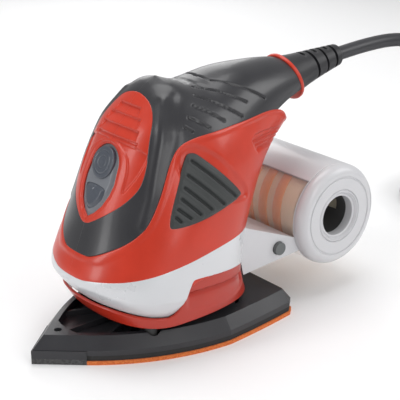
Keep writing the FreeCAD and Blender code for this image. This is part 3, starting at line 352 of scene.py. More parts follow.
def inside_distance(p, outline):
    """Signed distance from a closed outline, positive inside."""
    crossings = np.zeros(p.shape[:-1], int)
    for (ax, ay), (bx, by) in zip(outline, np.roll(outline, -1, 0)):
        if ay != by:
            straddles = (p[..., 1] < ay) != (p[..., 1] < by)
            crossings += straddles & (p[..., 0] < ax + (p[..., 1] - ay) * (bx - ax) / (by - ay))
    return np.where(crossings % 2 == 1, 1.0, -1.0) * run_distance(p, outline, True)


def groove(distance, half_width, depth):
    """Rounded channel about a line."""
    return -depth * np.clip(1 - (distance / half_width) ** 2, 0, 1) ** 0.8


def ledge(distance, width):
    """Smooth step from 0 outside to 1 inside."""
    t = np.clip(distance / width + 0.5, 0, 1)
    return t * t * (3 - 2 * t)


# ------------------------------------------------------------------ panels cut from the surface
def clip(points, normals, field):
    """The part of a grid where field is positive, cut exactly along its zero line."""
    n, m = field.shape
    inside = field > 0
    index, out_points, out_normals = {}, [], []

    def corner(i, j):
        key = (i, j)
        if key not in index:
            index[key] = len(out_points)
            out_points.append(points[i, j])
            out_normals.append(normals[i, j])
        return index[key]

    def crossing(a, b):
        key = (min(a, b), max(a, b))
        if key not in index:
            t = field[a] / (field[a] - field[b])
            t = min(max(t, 0.02), 0.98)
            index[key] = len(out_points)
            out_points.append(points[a] * (1 - t) + points[b] * t)
            out_normals.append(normals[a] * (1 - t) + normals[b] * t)
        return index[key]
    faces = []
    busy = inside[:-1, :-1] | inside[1:, :-1] | inside[:-1, 1:] | inside[1:, 1:]
    for i, j in np.argwhere(busy):
        ring = [(i, j), (i + 1, j), (i + 1, j + 1), (i, j + 1)]
        ring = [(int(a), int(b)) for a, b in ring]
        face = []
        for a, b in zip(ring, ring[1:] + ring[:1]):
            if inside[a]:
                face.append(corner(*a))
            if inside[a] != inside[b]:
                face.append(crossing(a, b))
        if len(face) >= 3:
            faces.append(face)
    return np.array(out_points), np.array(out_normals), faces


def facing_out(points, normals, faces):
    a, b, c = (points[[f[k] for f in faces]] for k in range(3))
    agree = (np.cross(b - a, c - a) * normals[[f[0] for f in faces]]).sum(-1)
    return faces if np.median(agree) > 0 else [f[::-1] for f in faces]


def thick_panel(points, normals, faces, edge, depth):
    """Closed panel: the outer sheet, a rounded rim and an inner sheet."""
    faces = facing_out(points, normals, faces)
    normals = normals / np.maximum(np.linalg.norm(normals, axis=1, keepdims=True), 1e-9)
    count = {}
    for f in faces:
        for a, b in zip(f, f[1:] + f[:1]):
            count[(a, b)] = True
    rim = [(a, b) for a, b in count if (b, a) not in count]
    run = {}
    for a, b in rim:
        direction = points[b] - points[a]
        direction = direction / max(np.linalg.norm(direction), 1e-9)
        for v in (a, b):
            run[v] = run.get(v, 0) + direction
    edge_points = sorted(run)
    slot_of = {v: k for k, v in enumerate(edge_points)}
    tangent = np.array([run[v] for v in edge_points])
    outward = np.cross(tangent, normals[edge_points])
    outward /= np.maximum(np.linalg.norm(outward, axis=1, keepdims=True), 1e-9)
    rows = [(edge * math.sin(a), edge * (1 - math.cos(a))) for a in np.radians([30, 60, 90])]
    rows += [(edge, depth)]
    all_points, offset = [points], len(points)
    all_faces = list(faces)
    previous = {v: v for v in edge_points}
    for out, down in rows:
        row = points[edge_points] + outward * out - normals[edge_points] * down
        row[:, 0] = np.where(points[edge_points][:, 0] < 1e-6, 0.0, np.maximum(row[:, 0], 0.0))
        current = {v: offset + slot_of[v] for v in edge_points}
        all_faces += [(previous[b], previous[a], current[a], current[b]) for a, b in rim]
        all_points.append(row)
        offset += len(edge_points)
        previous = current
    inner = points - normals * depth
    inner[:, 0] = np.maximum(inner[:, 0], 0.0)
    all_faces += [(previous[b], previous[a], offset + a, offset + b) for a, b in rim]
    all_faces += [[offset + v for v in f[::-1]] for f in faces]
    all_points.append(inner)
    return np.vstack(all_points), all_faces


def panel_pair(name, sheet, field, look, lift=None, edge=0.5, depth=SKIN, body="housing", nodes=None):
    """A right-hand panel and its mirror image, standing for the CAD pair of the same name."""
    points, normals = sheet
    if lift is not None:
        points = points + normals * lift[..., None]
    mesh_points, mesh_faces = thick_panel(*clip(points, normals, field), edge, depth)
    made = []
    for side in ("right", "left"):
        if side == "left":
            mesh_points = mesh_points * np.array([-1, 1, 1])
            mesh_faces = [f[::-1] for f in mesh_faces]
        stands_for = (name + "_" + side,) if nodes is None else nodes
        made.append(piece(name + "_shell_" + side, mesh_points, mesh_faces, look, body, replaces=stands_for))
    return made


# ------------------------------------------------------------------ stage
def studio():
    """Pale floor, soft lights and the camera."""
    world = bpy.data.worlds.new("studio")
    bpy.context.scene.world = world
    world.use_nodes = True
    world.node_tree.nodes["Background"].inputs["Color"].default_value = (1.0, 1.0, 1.0, 1)
    world.node_tree.nodes["Background"].inputs["Strength"].default_value = 0.42
    size = 6.0
    mesh = bpy.data.meshes.new("floor")
    corners = [(-size, -size, 0), (size, -size, 0), (size, size, 0), (-size, size, 0)]
    mesh.from_pydata(corners, [], [(0, 1, 2, 3)])
    floor = bpy.data.objects.new("floor", mesh)
    bpy.context.scene.collection.objects.link(floor)
    material, _, shader = shader_nodes("pale_floor")
    set_inputs(shader, Base_Color=(0.92, 0.92, 0.925, 1), Roughness=0.7)
    mesh.materials.append(material)
    target = Vector((0.0, 0.05, 0.06))
    for name, place, width, height, power in LIGHTS:
        lamp = bpy.data.lights.new(name, "AREA")
        lamp.shape = "RECTANGLE"
        lamp.size, lamp.size_y, lamp.energy = width, height, power
        holder = bpy.data.objects.new(name, lamp)
        holder.location = place
        holder.rotation_euler = (target - Vector(place)).to_track_quat("-Z", "Y").to_euler()
        bpy.context.scene.collection.objects.link(holder)
    camera = bpy.data.cameras.new("camera")
    camera.lens = 100.1
    camera.sensor_width = 36.0
    camera.clip_start = 0.01
    holder = bpy.data.objects.new("camera", camera)
    holder.location = (0.46364, -0.33532, 0.29866)
    holder.rotation_euler = (math.radians(90 - 21.31), 0, math.radians(51.0))
    bpy.context.scene.collection.objects.link(holder)
    bpy.context.scene.camera = holder
    bpy.context.scene.view_settings.view_transform = "Standard"


# name, place, width, height, power in watts
LIGHTS = [("top_soft", (-0.10, 0.10, 0.95), 0.7, 0.7, 4.5),
          ("front_left", (-0.25, -0.95, 0.55), 0.25, 0.9, 3.5),
          ("front_right", (0.95, -0.05, 0.50), 0.35, 0.7, 2.2),
          ("rear_right", (0.55, 0.85, 0.60), 0.5, 0.5, 2.5),
          ("rear_left", (-0.80, 0.50, 0.50), 0.5, 0.6, 2.0)]
studio()

# ------------------------------------------------------------------ body outlines, (y, z)
GRIP_EDGE = [(-90, 56), (-46, 56.5), (-42.7, 59.7), (-38.9, 62.9), (-32, 68), (-26.5, 72.8), (-21, 79),
             (-14.4, 91), (-9.3, 102), (-5.9, 108.3), (-2, 113.5), (3, 116.8), (12, 118.6), (28, 119.4),
             (49, 119.6), (70, 120), (84, 117), (92, 109), (118, 92), (150, 150), (90, 175), (-90, 175)]
BAND_TOP = [(-90, 44.5), (-50, 45.2), (-48, 46.8), (-43, 48.1), (-36.6, 49.4), (-25.8, 51.7),
            (-12.4, 54.9), (0.8, 57.4), (20, 60.5), (45, 61.5), (75, 61.5)]
BAND_WINDOW = [(75, 17), (55, 17), (43, 39), (36, 42.2), (-1, 46.2), (-4.7, 45), (-12, 25)]
BAND_LOW = [(-25.6, 25.7), (-35.5, 27.5), (-44, 29.4), (-90, 29.6)]
SIDE_PAD = [(1.5, 110.5), (6, 111.5), (9.5, 109.5), (34.5, 85.5), (34, 82.5), (-11.5, 74.3), (-14.5, 77)]
WINDOW_SHELF = [(-2.5, 45.8), (34, 41.8), (38, 33.5), (2, 34.5), (-5, 38)]
PLATE = [(0, 71.5), (9.3, 76.6), (18.6, 83.4), (23.6, 88.7), (26.6, 94.2), (27.2, 99), (26.5, 106),
         (24.6, 113), (21.4, 123.3), (17, 130.4), (10.6, 136.1), (0, 138.6)]
PLATE_BACK = 2.0
BOOT_SPLIT = 43.0
SEAM = 0.22

grip_outline = rounded(GRIP_EDGE, 2)
band_outline = rounded(BAND_TOP + BAND_WINDOW + BAND_LOW, 2)
pad_outline = rounded(SIDE_PAD, 3)
shelf_outline = rounded(WINDOW_SHELF, 2)
plate_outline = rounded(PLATE + [(-x, z) for x, z in PLATE[-2:0:-1]], 2)


# ------------------------------------------------------------------ details on the body
# Grip grooves as (x, y, z) lines, right side
GRIP_GROOVES = [[(0, 37, 140.4), (9.9, 38.7, 139.4), (18.1, 49, 136.8), (22.7, 61.2, 131.1),
                 (23.5, 67.5, 127.1)],
                [(11.3, 26, 138.3), (15.9, 33.8, 136.4), (22.3, 42.8, 132.8), (25.6, 52, 128.2)],
                [(19.1, 20.3, 136.3), (22.7, 29.5, 132.5), (27.7, 38.3, 127.1), (29.7, 45.8, 122)],
                [(24.1, 15.8, 132.5), (27.8, 24, 128.3), (31.5, 31.8, 122.8)],
                [(27.5, 10.4, 127.8), (32.7, 20, 121.8)],
                [(29.7, 6, 123.7), (31.9, 9.5, 121.2)]]
GRIP_STEPS = [[(0, 30, 139.8), (8, 30.5, 138.5), (13, 33, 137)], [(0, 23.5, 141), (7, 24, 139.5)]]
HEAD_RIDGE = [(16.6, 1.8, 136.4), (26.6, -7.9, 119), (30.6, -15.8, 100), (32.1, -19, 90.2), (32, -24, 76)]
HEAD_VALLEY = [(17, 8.5, 136.4), (28.5, -0.5, 119), (33, -9, 100), (35, -13, 90), (36, -18, 78)]
PAD_GROOVES = [[(4.6, 107.5), (29.3, 84.2)], [(0.9, 100.9), (19.9, 82.5)], [(-2.1, 94.9), (10.9, 81.8)],
               [(-4.8, 89.6), (3.6, 80.7)], [(-7.5, 84.7), (-2.2, 79.6)], [(-9.5, 80.8), (-7.5, 78.5)]]
PAD_POCKET = [(-4, 108), (1, 114), (6, 115.6), (14, 112.5), (23, 105.5), (33, 94), (42, 83), (37, 79),
              (0, 90)]
VENT_POCKET = [(49.5, 110.3), (66.5, 110.1), (92, 104.5), (92, 97), (75, 98), (59.2, 101), (53.9, 100.5)]
VENT_LINES = [[(53, 107.6), (88, 103.4)], [(55, 104.9), (88, 100.8)], [(57, 102.4), (84, 99.2)]]
BAND_CREASE = [(-60, 43), (-48, 41.4), (-37.5, 38.2), (-26.7, 36.2), (-9, 36), (10, 36), (80, 34)]
SHELF_LINE = [(-6, 38.6), (10, 37.6), (38, 35.2)]


def line_distance(p, line):
    return run_distance(p, np.asarray(line, float), False)


def sheet(angle_from, angle_to, angle_step, turn_step, turn_from=-90.0):
    """Swept sheet with even steps, and narrow columns beside the split plane."""
    angle_list = np.linspace(angle_from, angle_to, int((angle_to - angle_from) / angle_step) + 2)
    count = int((88.4 - max(turn_from, -88.4)) / turn_step) + 2
    turn_list = np.linspace(max(turn_from, -88.4), 88.4, count)
    edge = np.array([88.9, 89.4, 89.8, 90.0])
    turn_list = np.concatenate([turn_list, edge])
    if turn_from <= -90:
        turn_list = np.concatenate([-edge[::-1], turn_list])
    points, normals = swept_sheet(angle_list, turn_list)
    if turn_from > -90:
        points[:, 0, 0] = np.maximum(points[:, 0, 0], 0)
    return points, normals


def after_lift(points, normals, lift):
    """Displaced sheet with the normals that the displacement gives it."""
    moved = points + normals * lift[..., None]
    along = np.gradient(moved, axis=0)
    across = np.gradient(moved, axis=1)
    fresh = np.cross(along, across)
    fresh /= np.maximum(np.linalg.norm(fresh, axis=-1, keepdims=True), 1e-9)
    turned = np.sign((fresh * normals).sum(-1, keepdims=True))
    fresh = np.where(turned == 0, normals, fresh * turned)
    fresh = np.where(np.isfinite(fresh), fresh, normals)
    return moved, fresh


def swept_fields(points):
    """Distances inside each outline, for every point of a swept sheet."""
    side = points[..., 1:]
    front = points[..., [0, 2]]
    ahead = points[..., 1] < PLATE_BACK
    return {
        "grip": inside_distance(side, grip_outline), "band": inside_distance(side, band_outline),
        "pad": inside_distance(side, pad_outline), "shelf": inside_distance(side, shelf_outline),
        "plate": np.where(ahead, inside_distance(front, plate_outline), -50.0),
    }


def make_housing():
    """Red clamshell halves: everything above the boot that no inlay covers."""
    points, normals = sheet(-0.5, END_ANGLE, 0.27, 0.85)
    at = swept_fields(points)
    side = points[..., 1:]
    flank = ledge(points[..., 0] - 20, 12)
    lift = -1.3 * ledge(inside_distance(side, rounded(PAD_POCKET, 3)), 3.0) * flank
    vents = ledge(points[..., 0] - 20, 6) * ledge(82 - points[..., 1], 6)
    lift += -1.4 * ledge(inside_distance(side, rounded(VENT_POCKET, 1)), 1.2) * vents
    for line in VENT_LINES:
        lift += groove(line_distance(side, line), 0.9, 0.9) * ledge(points[..., 0] - 9, 4)
    lift += 0.35 * ledge(2.2 + at["grip"], 1.6) * ledge(-at["grip"], 1.2)
    field = np.minimum.reduce([-at["grip"], -at["band"], -at["pad"], -at["shelf"],
                               points[..., 2] - BOOT_SPLIT]) - SEAM
    panel_pair("housing", after_lift(points, normals, lift), field, "red")


def make_grip():
    """Soft grip over the head and handle."""
    points, normals = sheet(6, END_ANGLE, 0.2, 0.6, turn_from=-20)
    at = swept_fields(points)
    lift = np.zeros(points.shape[:2])
    for line in GRIP_GROOVES:
        lift += groove(line_distance(points, line), 0.8, 1.4)
    for line in GRIP_STEPS:
        lift += groove(line_distance(points, line), 1.3, 0.7)
    lift += 1.0 * np.exp(-(line_distance(points, HEAD_RIDGE) / 2.6) ** 2)
    lift += -0.9 * np.exp(-(line_distance(points, HEAD_VALLEY) / 2.8) ** 2)
    field = np.minimum(at["grip"], -at["plate"]) - SEAM
    panel_pair("grip", after_lift(points, normals, lift), field, "grip", edge=0.6)


def side_patch(y_from, y_to, z_from, z_to, step):
    """Fine patch of the right flank on an even (y, z) grid."""
    y, z = np.meshgrid(np.arange(y_from, y_to, step), np.arange(z_from, z_to, step), indexing="ij")
    inside = np.stack([np.full_like(y, 5.0), y, z], -1)
    direction = np.zeros(inside.shape)
    direction[..., 0] = 1.0
    points = to_surface(inside, direction, 60.0)
    return points, body_normal(points)


def make_side_pads():
    points, normals = side_patch(-17, 38, 72, 114, 0.4)
    side = points[..., 1:]
    inset = inside_distance(side, pad_outline)
    lift = 0.5 * ledge(inset - 0.8, 1.8)
    for line in PAD_GROOVES:
        distance = line_distance(side, line)
        lift += groove(distance, 0.85, 1.4) + 0.3 * np.exp(-((distance - 1.7) / 0.6) ** 2)
    panel_pair("side_pad", after_lift(points, normals, lift), inset - SEAM, "pad", edge=0.7)


def make_band():
    points, normals = sheet(-0.5, 24, 0.22, 0.8)
    at = swept_fields(points)
    side = points[..., 1:]
    crease = np.interp(side[..., 0], [p[0] for p in BAND_CREASE], [p[1] for p in BAND_CREASE])
    under = np.maximum(crease - side[..., 1], 0)
    lift = np.maximum(-0.30 * under * ledge(under, 1.2), -3.2)
    field = np.minimum(at["band"], points[..., 2] - BOOT_BOTTOM - 0.4) - SEAM
    panel_pair("band", after_lift(points, normals, lift), field, "band", edge=0.6)


def make_boot():
    """Red boot below the clamshell, with the stepped shelf behind the band's window."""
    points, normals = sheet(-0.5, 18, 0.22, 0.8)
    at = swept_fields(points)
    side = points[..., 1:]
    shelf = np.interp(side[..., 0], [p[0] for p in SHELF_LINE], [p[1] for p in SHELF_LINE])
    in_window = ledge(at["shelf"] + 9, 3) * ledge(side[..., 0] + 6, 4)
    drop = shelf - side[..., 1]
    lift = -0.9 - 4.0 * in_window * ledge(drop, 0.9) * np.exp(-np.maximum(drop, 0) / 5.0)
    lift = np.where(at["band"] > -1.2, np.minimum(lift, -0.9), lift)
    top = np.maximum(BOOT_SPLIT - side[..., 1], at["shelf"])
    field = np.minimum.reduce([-at["band"] - 0.1, top, points[..., 2] - BOOT_BOTTOM]) - SEAM
    panel_pair("boot", after_lift(points, normals, lift), field, "boot_red", nodes=("boot",), edge=0.7)


# ------------------------------------------------------------------ switch face
FACE_LOW = np.array([0, float(head_front(81.0)), 81.0])
FACE_HIGH = np.array([0, float(head_front(112.0)), 112.0])
FACE_UP = (FACE_HIGH - FACE_LOW) / np.linalg.norm(FACE_HIGH - FACE_LOW)
FACE_OUT = np.array([0, -FACE_UP[2], FACE_UP[1]])
FACE_ORIGIN = np.array([0, float(head_front(95.5)), 95.5])
FACE_RIGHT = np.array([1.0, 0, 0])
ROUND_V = 9.2
ROUND_RADIUS = 8.4
LOUVRES = [(43.0, 8.6), (37.2, 12.7), (31.0, 15.5), (24.9, 17.9)]
FACE_RECESS = [(0, 22.6), (8, 20.9), (15.4, 16.4), (17.4, 12.7), (18.9, 7.3), (19.3, -3.4), (21.8, 1.7),
               (23.7, 6.9), (25.4, 16), (25.2, 22.6)]


def face_point(u, v, w):
    u, v, w = np.broadcast_arrays(u, v, w)
    return FACE_ORIGIN + u[..., None] * FACE_RIGHT + v[..., None] * FACE_UP + w[..., None] * FACE_OUT


def face_patch(u_to, v_from, v_to, step, u_from=0.0):
    """Grid of the front face by (u, v), with its height w on the body surface."""
    u, v = np.meshgrid(np.arange(u_from, u_to, step), np.arange(v_from, v_to, step), indexing="ij")
    low, high = np.full(u.shape, -34.0), np.full(u.shape, 14.0)
    for _ in range(24):
        middle = (low + high) / 2
        within = body_distance(face_point(u, v, middle)) < 0
        low = np.where(within, middle, low)
        high = np.where(within, high, middle)
    points = face_point(u, v, (low + high) / 2)
    return u, v, points, body_normal(points)


def teardrop(grow):
    """Switch bezel outline: round at the top, pointed at the bottom."""
    side = [(12.6 + grow, 0), (11.6 + grow, -6), (8.6 + grow, -13), (4.2 + grow, -18)]
    top = [((11.6 + grow) * math.cos(t), 7.6 + (11.6 + grow) * math.sin(t))
           for t in np.radians(np.linspace(10, 170, 17))]
    return np.array([(0, -20.5 - grow)] + side[::-1] + top + [(-u, v) for u, v in side])


def shield(grow):
    """Lower button outline: a straight top and a pointed foot."""
    corners = [(-7.8 - grow, -3.2 + grow), (7.8 + grow, -3.2 + grow), (8.2 + grow, -6.5), (6.4 + grow, -12),
               (0, -17.6 - grow), (-6.4 - grow, -12), (-8.2 - grow, -6.5)]
    return rounded(corners, 2)


def make_face_plate():
    """Red plate with louvres, the arch round the switch and its recessed cheeks."""
    u, v, points, normals = face_patch(29, -30, 52, 0.4)
    plane = np.stack([u, v], -1)
    cheeks = rounded(FACE_RECESS, 1, closed=True)
    lift = -0.9 * ledge(inside_distance(plane, cheeks), 0.8)
    for (high_v, high_half), (low_v, low_half) in zip(LOUVRES, LOUVRES[1:] + [(21.5, 17.9)]):
        share = np.clip((high_v - v) / (high_v - low_v), 0, 1)
        half = high_half + (low_half - high_half) * share * 0.35
        step = ledge(high_v - v, 0.5) * (1 - share) ** 0.8 * ledge(half - u, 1.2)
        lift += np.where(v > low_v, -1.5 * step, 0.0)
    lift += groove(np.hypot(u, np.maximum(21.5 - v, 0) + np.maximum(v - 23, 0)), 0.4, 0.25)
    hole = inside_distance(plane, teardrop(0.9))
    lift += -0.8 * ledge(hole + 1.0, 1.8)
    front = np.stack([points[..., 0], points[..., 2]], -1)
    field = np.minimum(inside_distance(front, plate_outline) - SEAM, -hole)
    panel_pair("face_plate", after_lift(points, normals, lift), field, "red", edge=0.5,
               nodes=("housing_right", "housing_left"))


CLEAR_OF_MIDDLE = 200.0      # a shift to one side, since thick_panel trims at the middle plane


def heightfield(name, u_range, v_range, step, field_of, height_of, depth, edge, look, body, nodes):
    """A face piece whose front is a height over (u, v), cut to an outline."""
    u, v = np.meshgrid(np.arange(*u_range, step), np.arange(*v_range, step), indexing="ij")
    plane = np.stack([u, v], -1)
    points = face_point(u, v, height_of(u, v, plane))
    normals = np.broadcast_to(FACE_OUT, points.shape).copy()
    cut_points, cut_normals, faces = clip(points, normals, field_of(u, v, plane))
    faces = facing_out(cut_points, cut_normals, faces)
    cut_points[:, 0] += CLEAR_OF_MIDDLE
    mesh_points, mesh_faces = thick_panel(cut_points, cut_normals, faces, edge, depth)
    mesh_points[:, 0] -= CLEAR_OF_MIDDLE
    return split_sharp(piece(name, mesh_points, mesh_faces, look, body, replaces=nodes), 50)


def make_switch():
    """Bezel with its grey bridge, the ringed round button and the shield button."""
    def bezel_field(u, v, plane):
        round_hole = np.hypot(u, v - ROUND_V) - ROUND_RADIUS - 0.7
        return np.minimum.reduce([inside_distance(plane, teardrop(0.2)), round_hole,
                                  -inside_distance(plane, shield(0.6))])

    def bezel_height(u, v, plane):
        edge_in = inside_distance(plane, teardrop(0.2))
        return -2.4 + 1.5 * ledge(edge_in - 2.0, 2.4) - 0.004 * u * u

    def button_field(u, v, plane):
        return ROUND_RADIUS - np.hypot(u, v - ROUND_V)

    def button_height(u, v, plane):
        reach = np.hypot(u, v - ROUND_V)
        rings = groove(np.abs(reach - 6.3), 0.45, 0.35) + groove(np.abs(reach - 3.4), 0.35, 0.22)
        dish = -0.5 * np.clip(1 - (reach / 6.0) ** 2, 0, 1)
        return 0.75 - 0.012 * reach ** 2 + dish + rings + 0.25 * np.exp(-(reach / 1.2) ** 2)

    def shield_field(u, v, plane):
        return inside_distance(plane, shield(0.0))

    def shield_height(u, v, plane):
        edge_in = inside_distance(plane, shield(0.0))
        notch = groove(np.abs(u), 0.35, 0.3) * ledge(v + 6.5, 1.0)
        return -1.3 + 1.3 * ledge(edge_in - 0.8, 2.4) - 0.010 * u * u + 0.02 * (v + 10) + notch

    heightfield("bezel_plate", (-14, 14.1), (-22, 20.5), 0.35, bezel_field, bezel_height, 2.6, 0.4, "bezel",
                "housing", ("switch_bezel",))
    heightfield("round_button", (-9, 9.1), (0, 18.5), 0.3, button_field, button_height, 5.0, 0.5, "button",
                "on_button", ("on_button",))
    heightfield("shield_button", (-9.5, 9.6), (-19.5, -1.5), 0.3, shield_field, shield_height, 4.0, 0.5,
                "button", "off_button", ("off_button",))


# ------------------------------------------------------------------ revolved and swept pieces
def revolve(profile, count, centre, axis_x=True):
    """Closed ring of a (place, radius) profile, turned about a line along X through centre."""
    profile = np.asarray(profile, float)
    turn = np.linspace(0, 2 * math.pi, count, endpoint=False)
    rows = len(profile)
    x = np.repeat(profile[:, 0], count).reshape(rows, count)
    reach = np.repeat(profile[:, 1], count).reshape(rows, count)
    points = np.stack([x, centre[0] + reach * np.cos(turn), centre[1] + reach * np.sin(turn)], -1)
    faces = []
    for i in range(rows):
        j = (i + 1) % rows
        for k in range(count):
            m = (k + 1) % count
            faces.append((i * count + k, i * count + m, j * count + m, j * count + k))
    return points.reshape(-1, 3), faces


def arc(centre_x, centre_r, radius, first, last, count=8):
    turn = np.radians(np.linspace(first, last, count))
    return [(centre_x + radius * math.cos(t), centre_r + radius * math.sin(t)) for t in turn]


def outward(thing):
    """Faces turned to look outward."""
    work = bmesh.new()
    work.from_mesh(thing.data)
    bmesh.ops.recalc_face_normals(work, faces=work.faces)
    work.to_mesh(thing.data)
    work.free()
    return thing


def revolved(name, profile, look, body, nodes, count=128):
    points, faces = revolve(profile, count, (DRUM_Y, DRUM_Z))
    thing = outward(piece(name, points, faces, look, body, replaces=nodes))
    return split_sharp(thing, 40)


DRUM_Y, DRUM_Z = 114.5, 49.5
DRUM_RADIUS = 31.0
DRUM_RIGHT = 40.0
DRUM_LEFT = -38.0
DRUM_WALL = 2.0
CAP_SEAM = 33.2
EDGE_ROUND = 6.0
EXHAUST = 12.1
LINER = 27.2
WINDOW_FROM, WINDOW_TO = 128.0, 322.0    # turn of the clear window about the drum, 180 facing the nose


def make_drum():
    """Clear-windowed dust drum with its silver back and liner."""
    wall = [(DRUM_LEFT + EDGE_ROUND, DRUM_RADIUS - DRUM_WALL), (CAP_SEAM - 0.3, DRUM_RADIUS - DRUM_WALL),
            (CAP_SEAM - 0.3, DRUM_RADIUS - 0.5)]
    wall += arc(CAP_SEAM - 0.8, DRUM_RADIUS - 0.5, 0.5, 0, 90, 4)
    wall += arc(DRUM_LEFT + EDGE_ROUND, DRUM_RADIUS - EDGE_ROUND, EDGE_ROUND, 90, 180, 10)
    wall += [(DRUM_LEFT, 14.0), (DRUM_LEFT + DRUM_WALL, 14.0)]
    wall += arc(DRUM_LEFT + EDGE_ROUND, DRUM_RADIUS - EDGE_ROUND, EDGE_ROUND - DRUM_WALL, 180, 90, 8)[:-1]
    points, faces = revolve(wall, 180, (DRUM_Y, DRUM_Z))
    middle = np.array([points[list(f)].mean(0) for f in faces])
    turn = np.degrees(np.arctan2(middle[:, 2] - DRUM_Z, middle[:, 1] - DRUM_Y)) % 360
    reach = np.hypot(middle[:, 1] - DRUM_Y, middle[:, 2] - DRUM_Z)
    in_window = (turn > WINDOW_FROM) & (turn < WINDOW_TO) & (middle[:, 0] > DRUM_LEFT + 3.5)
    in_window &= (middle[:, 0] < CAP_SEAM - 3.2) & (reach > 15)
    back_faces = [f for f, w in zip(faces, in_window) if not w]
    window_faces = [f for f, w in zip(faces, in_window) if w]
    back = split_sharp(outward(piece("drum_back", points, back_faces, "silver", "canister",
                                     replaces=("canister_shell",))))
    window = outward(piece("drum_window", points, window_faces, "clear", "canister",
                           replaces=("canister_shell",)))
    window.data.materials[0] = M["clear"]
    liner = [(DRUM_LEFT + 4, 21.5), (CAP_SEAM - 5.0, 21.5), (CAP_SEAM - 5.0, LINER)]
    liner += arc(DRUM_LEFT + 9, LINER - 5, 5, 90, 180, 6)
    lining = revolved("drum_liner", liner, "silver", "canister", ("canister_shell",))
    lining.data.materials[0] = M["liner"]
    return back


def make_spiral():
    """Amber ribbon wound round the liner."""
    pitch, turns, width = 12.4, 4.3, 6.8
    first_x = DRUM_LEFT + 9
    steps = 420
    points, faces = [], []
    for i in range(steps + 1):
        turn = 2 * math.pi * turns * i / steps
        x = first_x + pitch * turns * i / steps
        taper = min(1.0, 5 * i / steps, 5 * (steps - i) / steps + 0.05)
        half = width / 2 * taper
        for across, reach in ((-half, LINER - 0.2), (-half, LINER + 0.6), (-half + 0.5 * taper, LINER + 1.0),
                              (half - 0.5 * taper, LINER + 1.0), (half, LINER + 0.6), (half, LINER - 0.2)):
            points.append((x + across, DRUM_Y + reach * math.cos(turn), DRUM_Z + reach * math.sin(turn)))
    for i in range(steps):
        for k in range(6):
            m = (k + 1) % 6
            faces.append((6 * i + k, 6 * i + m, 6 * i + 6 + m, 6 * i + 6 + k))
    faces += [tuple(range(6)), tuple(range(6 * steps + 5, 6 * steps - 1, -1))]
    ribbon = outward(piece("cyclone_spiral", points, faces, "amber", "canister", replaces=("cyclone_vane",)))
    return split_sharp(ribbon, 50)


def make_cap():
    """End cap with its grooved face and the bevelled exhaust hole."""
    face = DRUM_RIGHT
    profile = [(CAP_SEAM, EXHAUST)]
    profile += [(CAP_SEAM, DRUM_RADIUS - 0.4)]
    profile += arc(CAP_SEAM + 0.5, DRUM_RADIUS - 0.5, 0.5, 160, 90, 4)
    profile += arc(face - EDGE_ROUND, DRUM_RADIUS - EDGE_ROUND, EDGE_ROUND, 90, 8, 12)
    profile += [(face - 0.12, 24.6), (face - 0.7, 24.2), (face - 0.7, 23.6), (face - 0.1, 23.2)]
    profile += [(face - 0.05, 16.6), (face - 0.5, 16.2)]
    profile += arc(face - 1.1, 15.0, 1.1, 80, 0, 5)
    profile += arc(face - 2.2, EXHAUST + 0.9, 0.9, 60, -90, 5)[:-1]
    profile += [(face - 3.2, EXHAUST)]
    revolved("cap_shell", profile, "silver", "cartridge", ("canister_cap",))


def make_guard():
    """Tapered strain relief with rings of slots, and the red ring at its foot."""
    tilt = math.radians(END_ANGLE)
    normal = np.array([0, math.sin(tilt), math.cos(tilt)])
    middle = float(sweep_middle(END_ANGLE))
    centre = np.array([0, SWEEP_Y - middle * math.cos(tilt), SWEEP_Z + middle * math.sin(tilt)])
    radius = float(sweep_width(END_ANGLE)) * BODY_WIDTH / 2
    heading = np.array([0, 0.996, 0.09])
    heading /= np.linalg.norm(heading)
    start, end = centre + normal * RING_THICKNESS, np.array([0, 147.0, 135.0])

    def tube(name, rows, look, node):
        count = 72
        turn = np.linspace(0, 2 * math.pi, count, endpoint=False)
        points, faces = [], []
        for place, direction, reach in rows:
            side = np.array([1.0, 0, 0])
            other = np.cross(direction, side)
            ring = place + reach[:, None] * (np.cos(turn)[:, None] * side + np.sin(turn)[:, None] * other)
            points.append(ring)
        for i in range(len(rows)):
            j = (i + 1) % len(rows)
            for k in range(count):
                m = (k + 1) % count
                faces.append((i * count + k, i * count + m, j * count + m, j * count + k))
        thing = piece(name, np.vstack(points), faces, look, "housing", replaces=(node,))
        return split_sharp(outward(thing), 40)
    turn = np.linspace(0, 2 * math.pi, 72, endpoint=False)
    flat = np.ones(72)
    rows = []
    length = np.linalg.norm(end - start)
    steps = 150
    for i in range(steps + 1):
        share = i / steps
        direction = normal * (1 - share) + heading * share
        direction /= np.linalg.norm(direction)
        pull = start + (end - start) * share
        pull = pull + normal * 0.8 * math.sin(math.pi * share)
        reach = radius - 1.3 + (GUARD_TIP - radius + 1.3) * share ** 0.62
        slot_row = (share - 0.30) / 0.105
        in_slot = 0 <= slot_row < 6 and (slot_row % 1) < 0.36
        gap_side = 1.0 if int(max(slot_row, 0)) % 2 else -1.0
        depth = 1.9 * np.clip(0.35 + gap_side * np.cos(turn) * 1.6 + 0.5, 0, 1) if in_slot else 0.0
        nose = 1.0 - 0.25 * max(0.0, (share - 0.965) / 0.035) ** 2
        rows.append((pull, direction, (reach - depth) * nose * flat))
    bore = CORD_RADIUS - 0.2
    rows.append((end, heading, flat * bore))
    rows.append((start, normal, flat * bore))
    tube("guard_sleeve", rows, "guard", "cord_guard")
    ring_rows = []
    outer = radius + 0.45
    for along, reach in [(0.05, outer - 0.7), (0.3, outer - 0.25), (0.8, outer),
                         (RING_THICKNESS - 0.8, outer),
                         (RING_THICKNESS - 0.3, outer - 0.25), (RING_THICKNESS, outer - 0.8),
                         (RING_THICKNESS, radius - 5.0), (0.05, radius - 5.0)]:
        ring_rows.append((centre + normal * along, normal, flat * reach))
    tube("guard_collar", ring_rows, "red", "guard_ring")


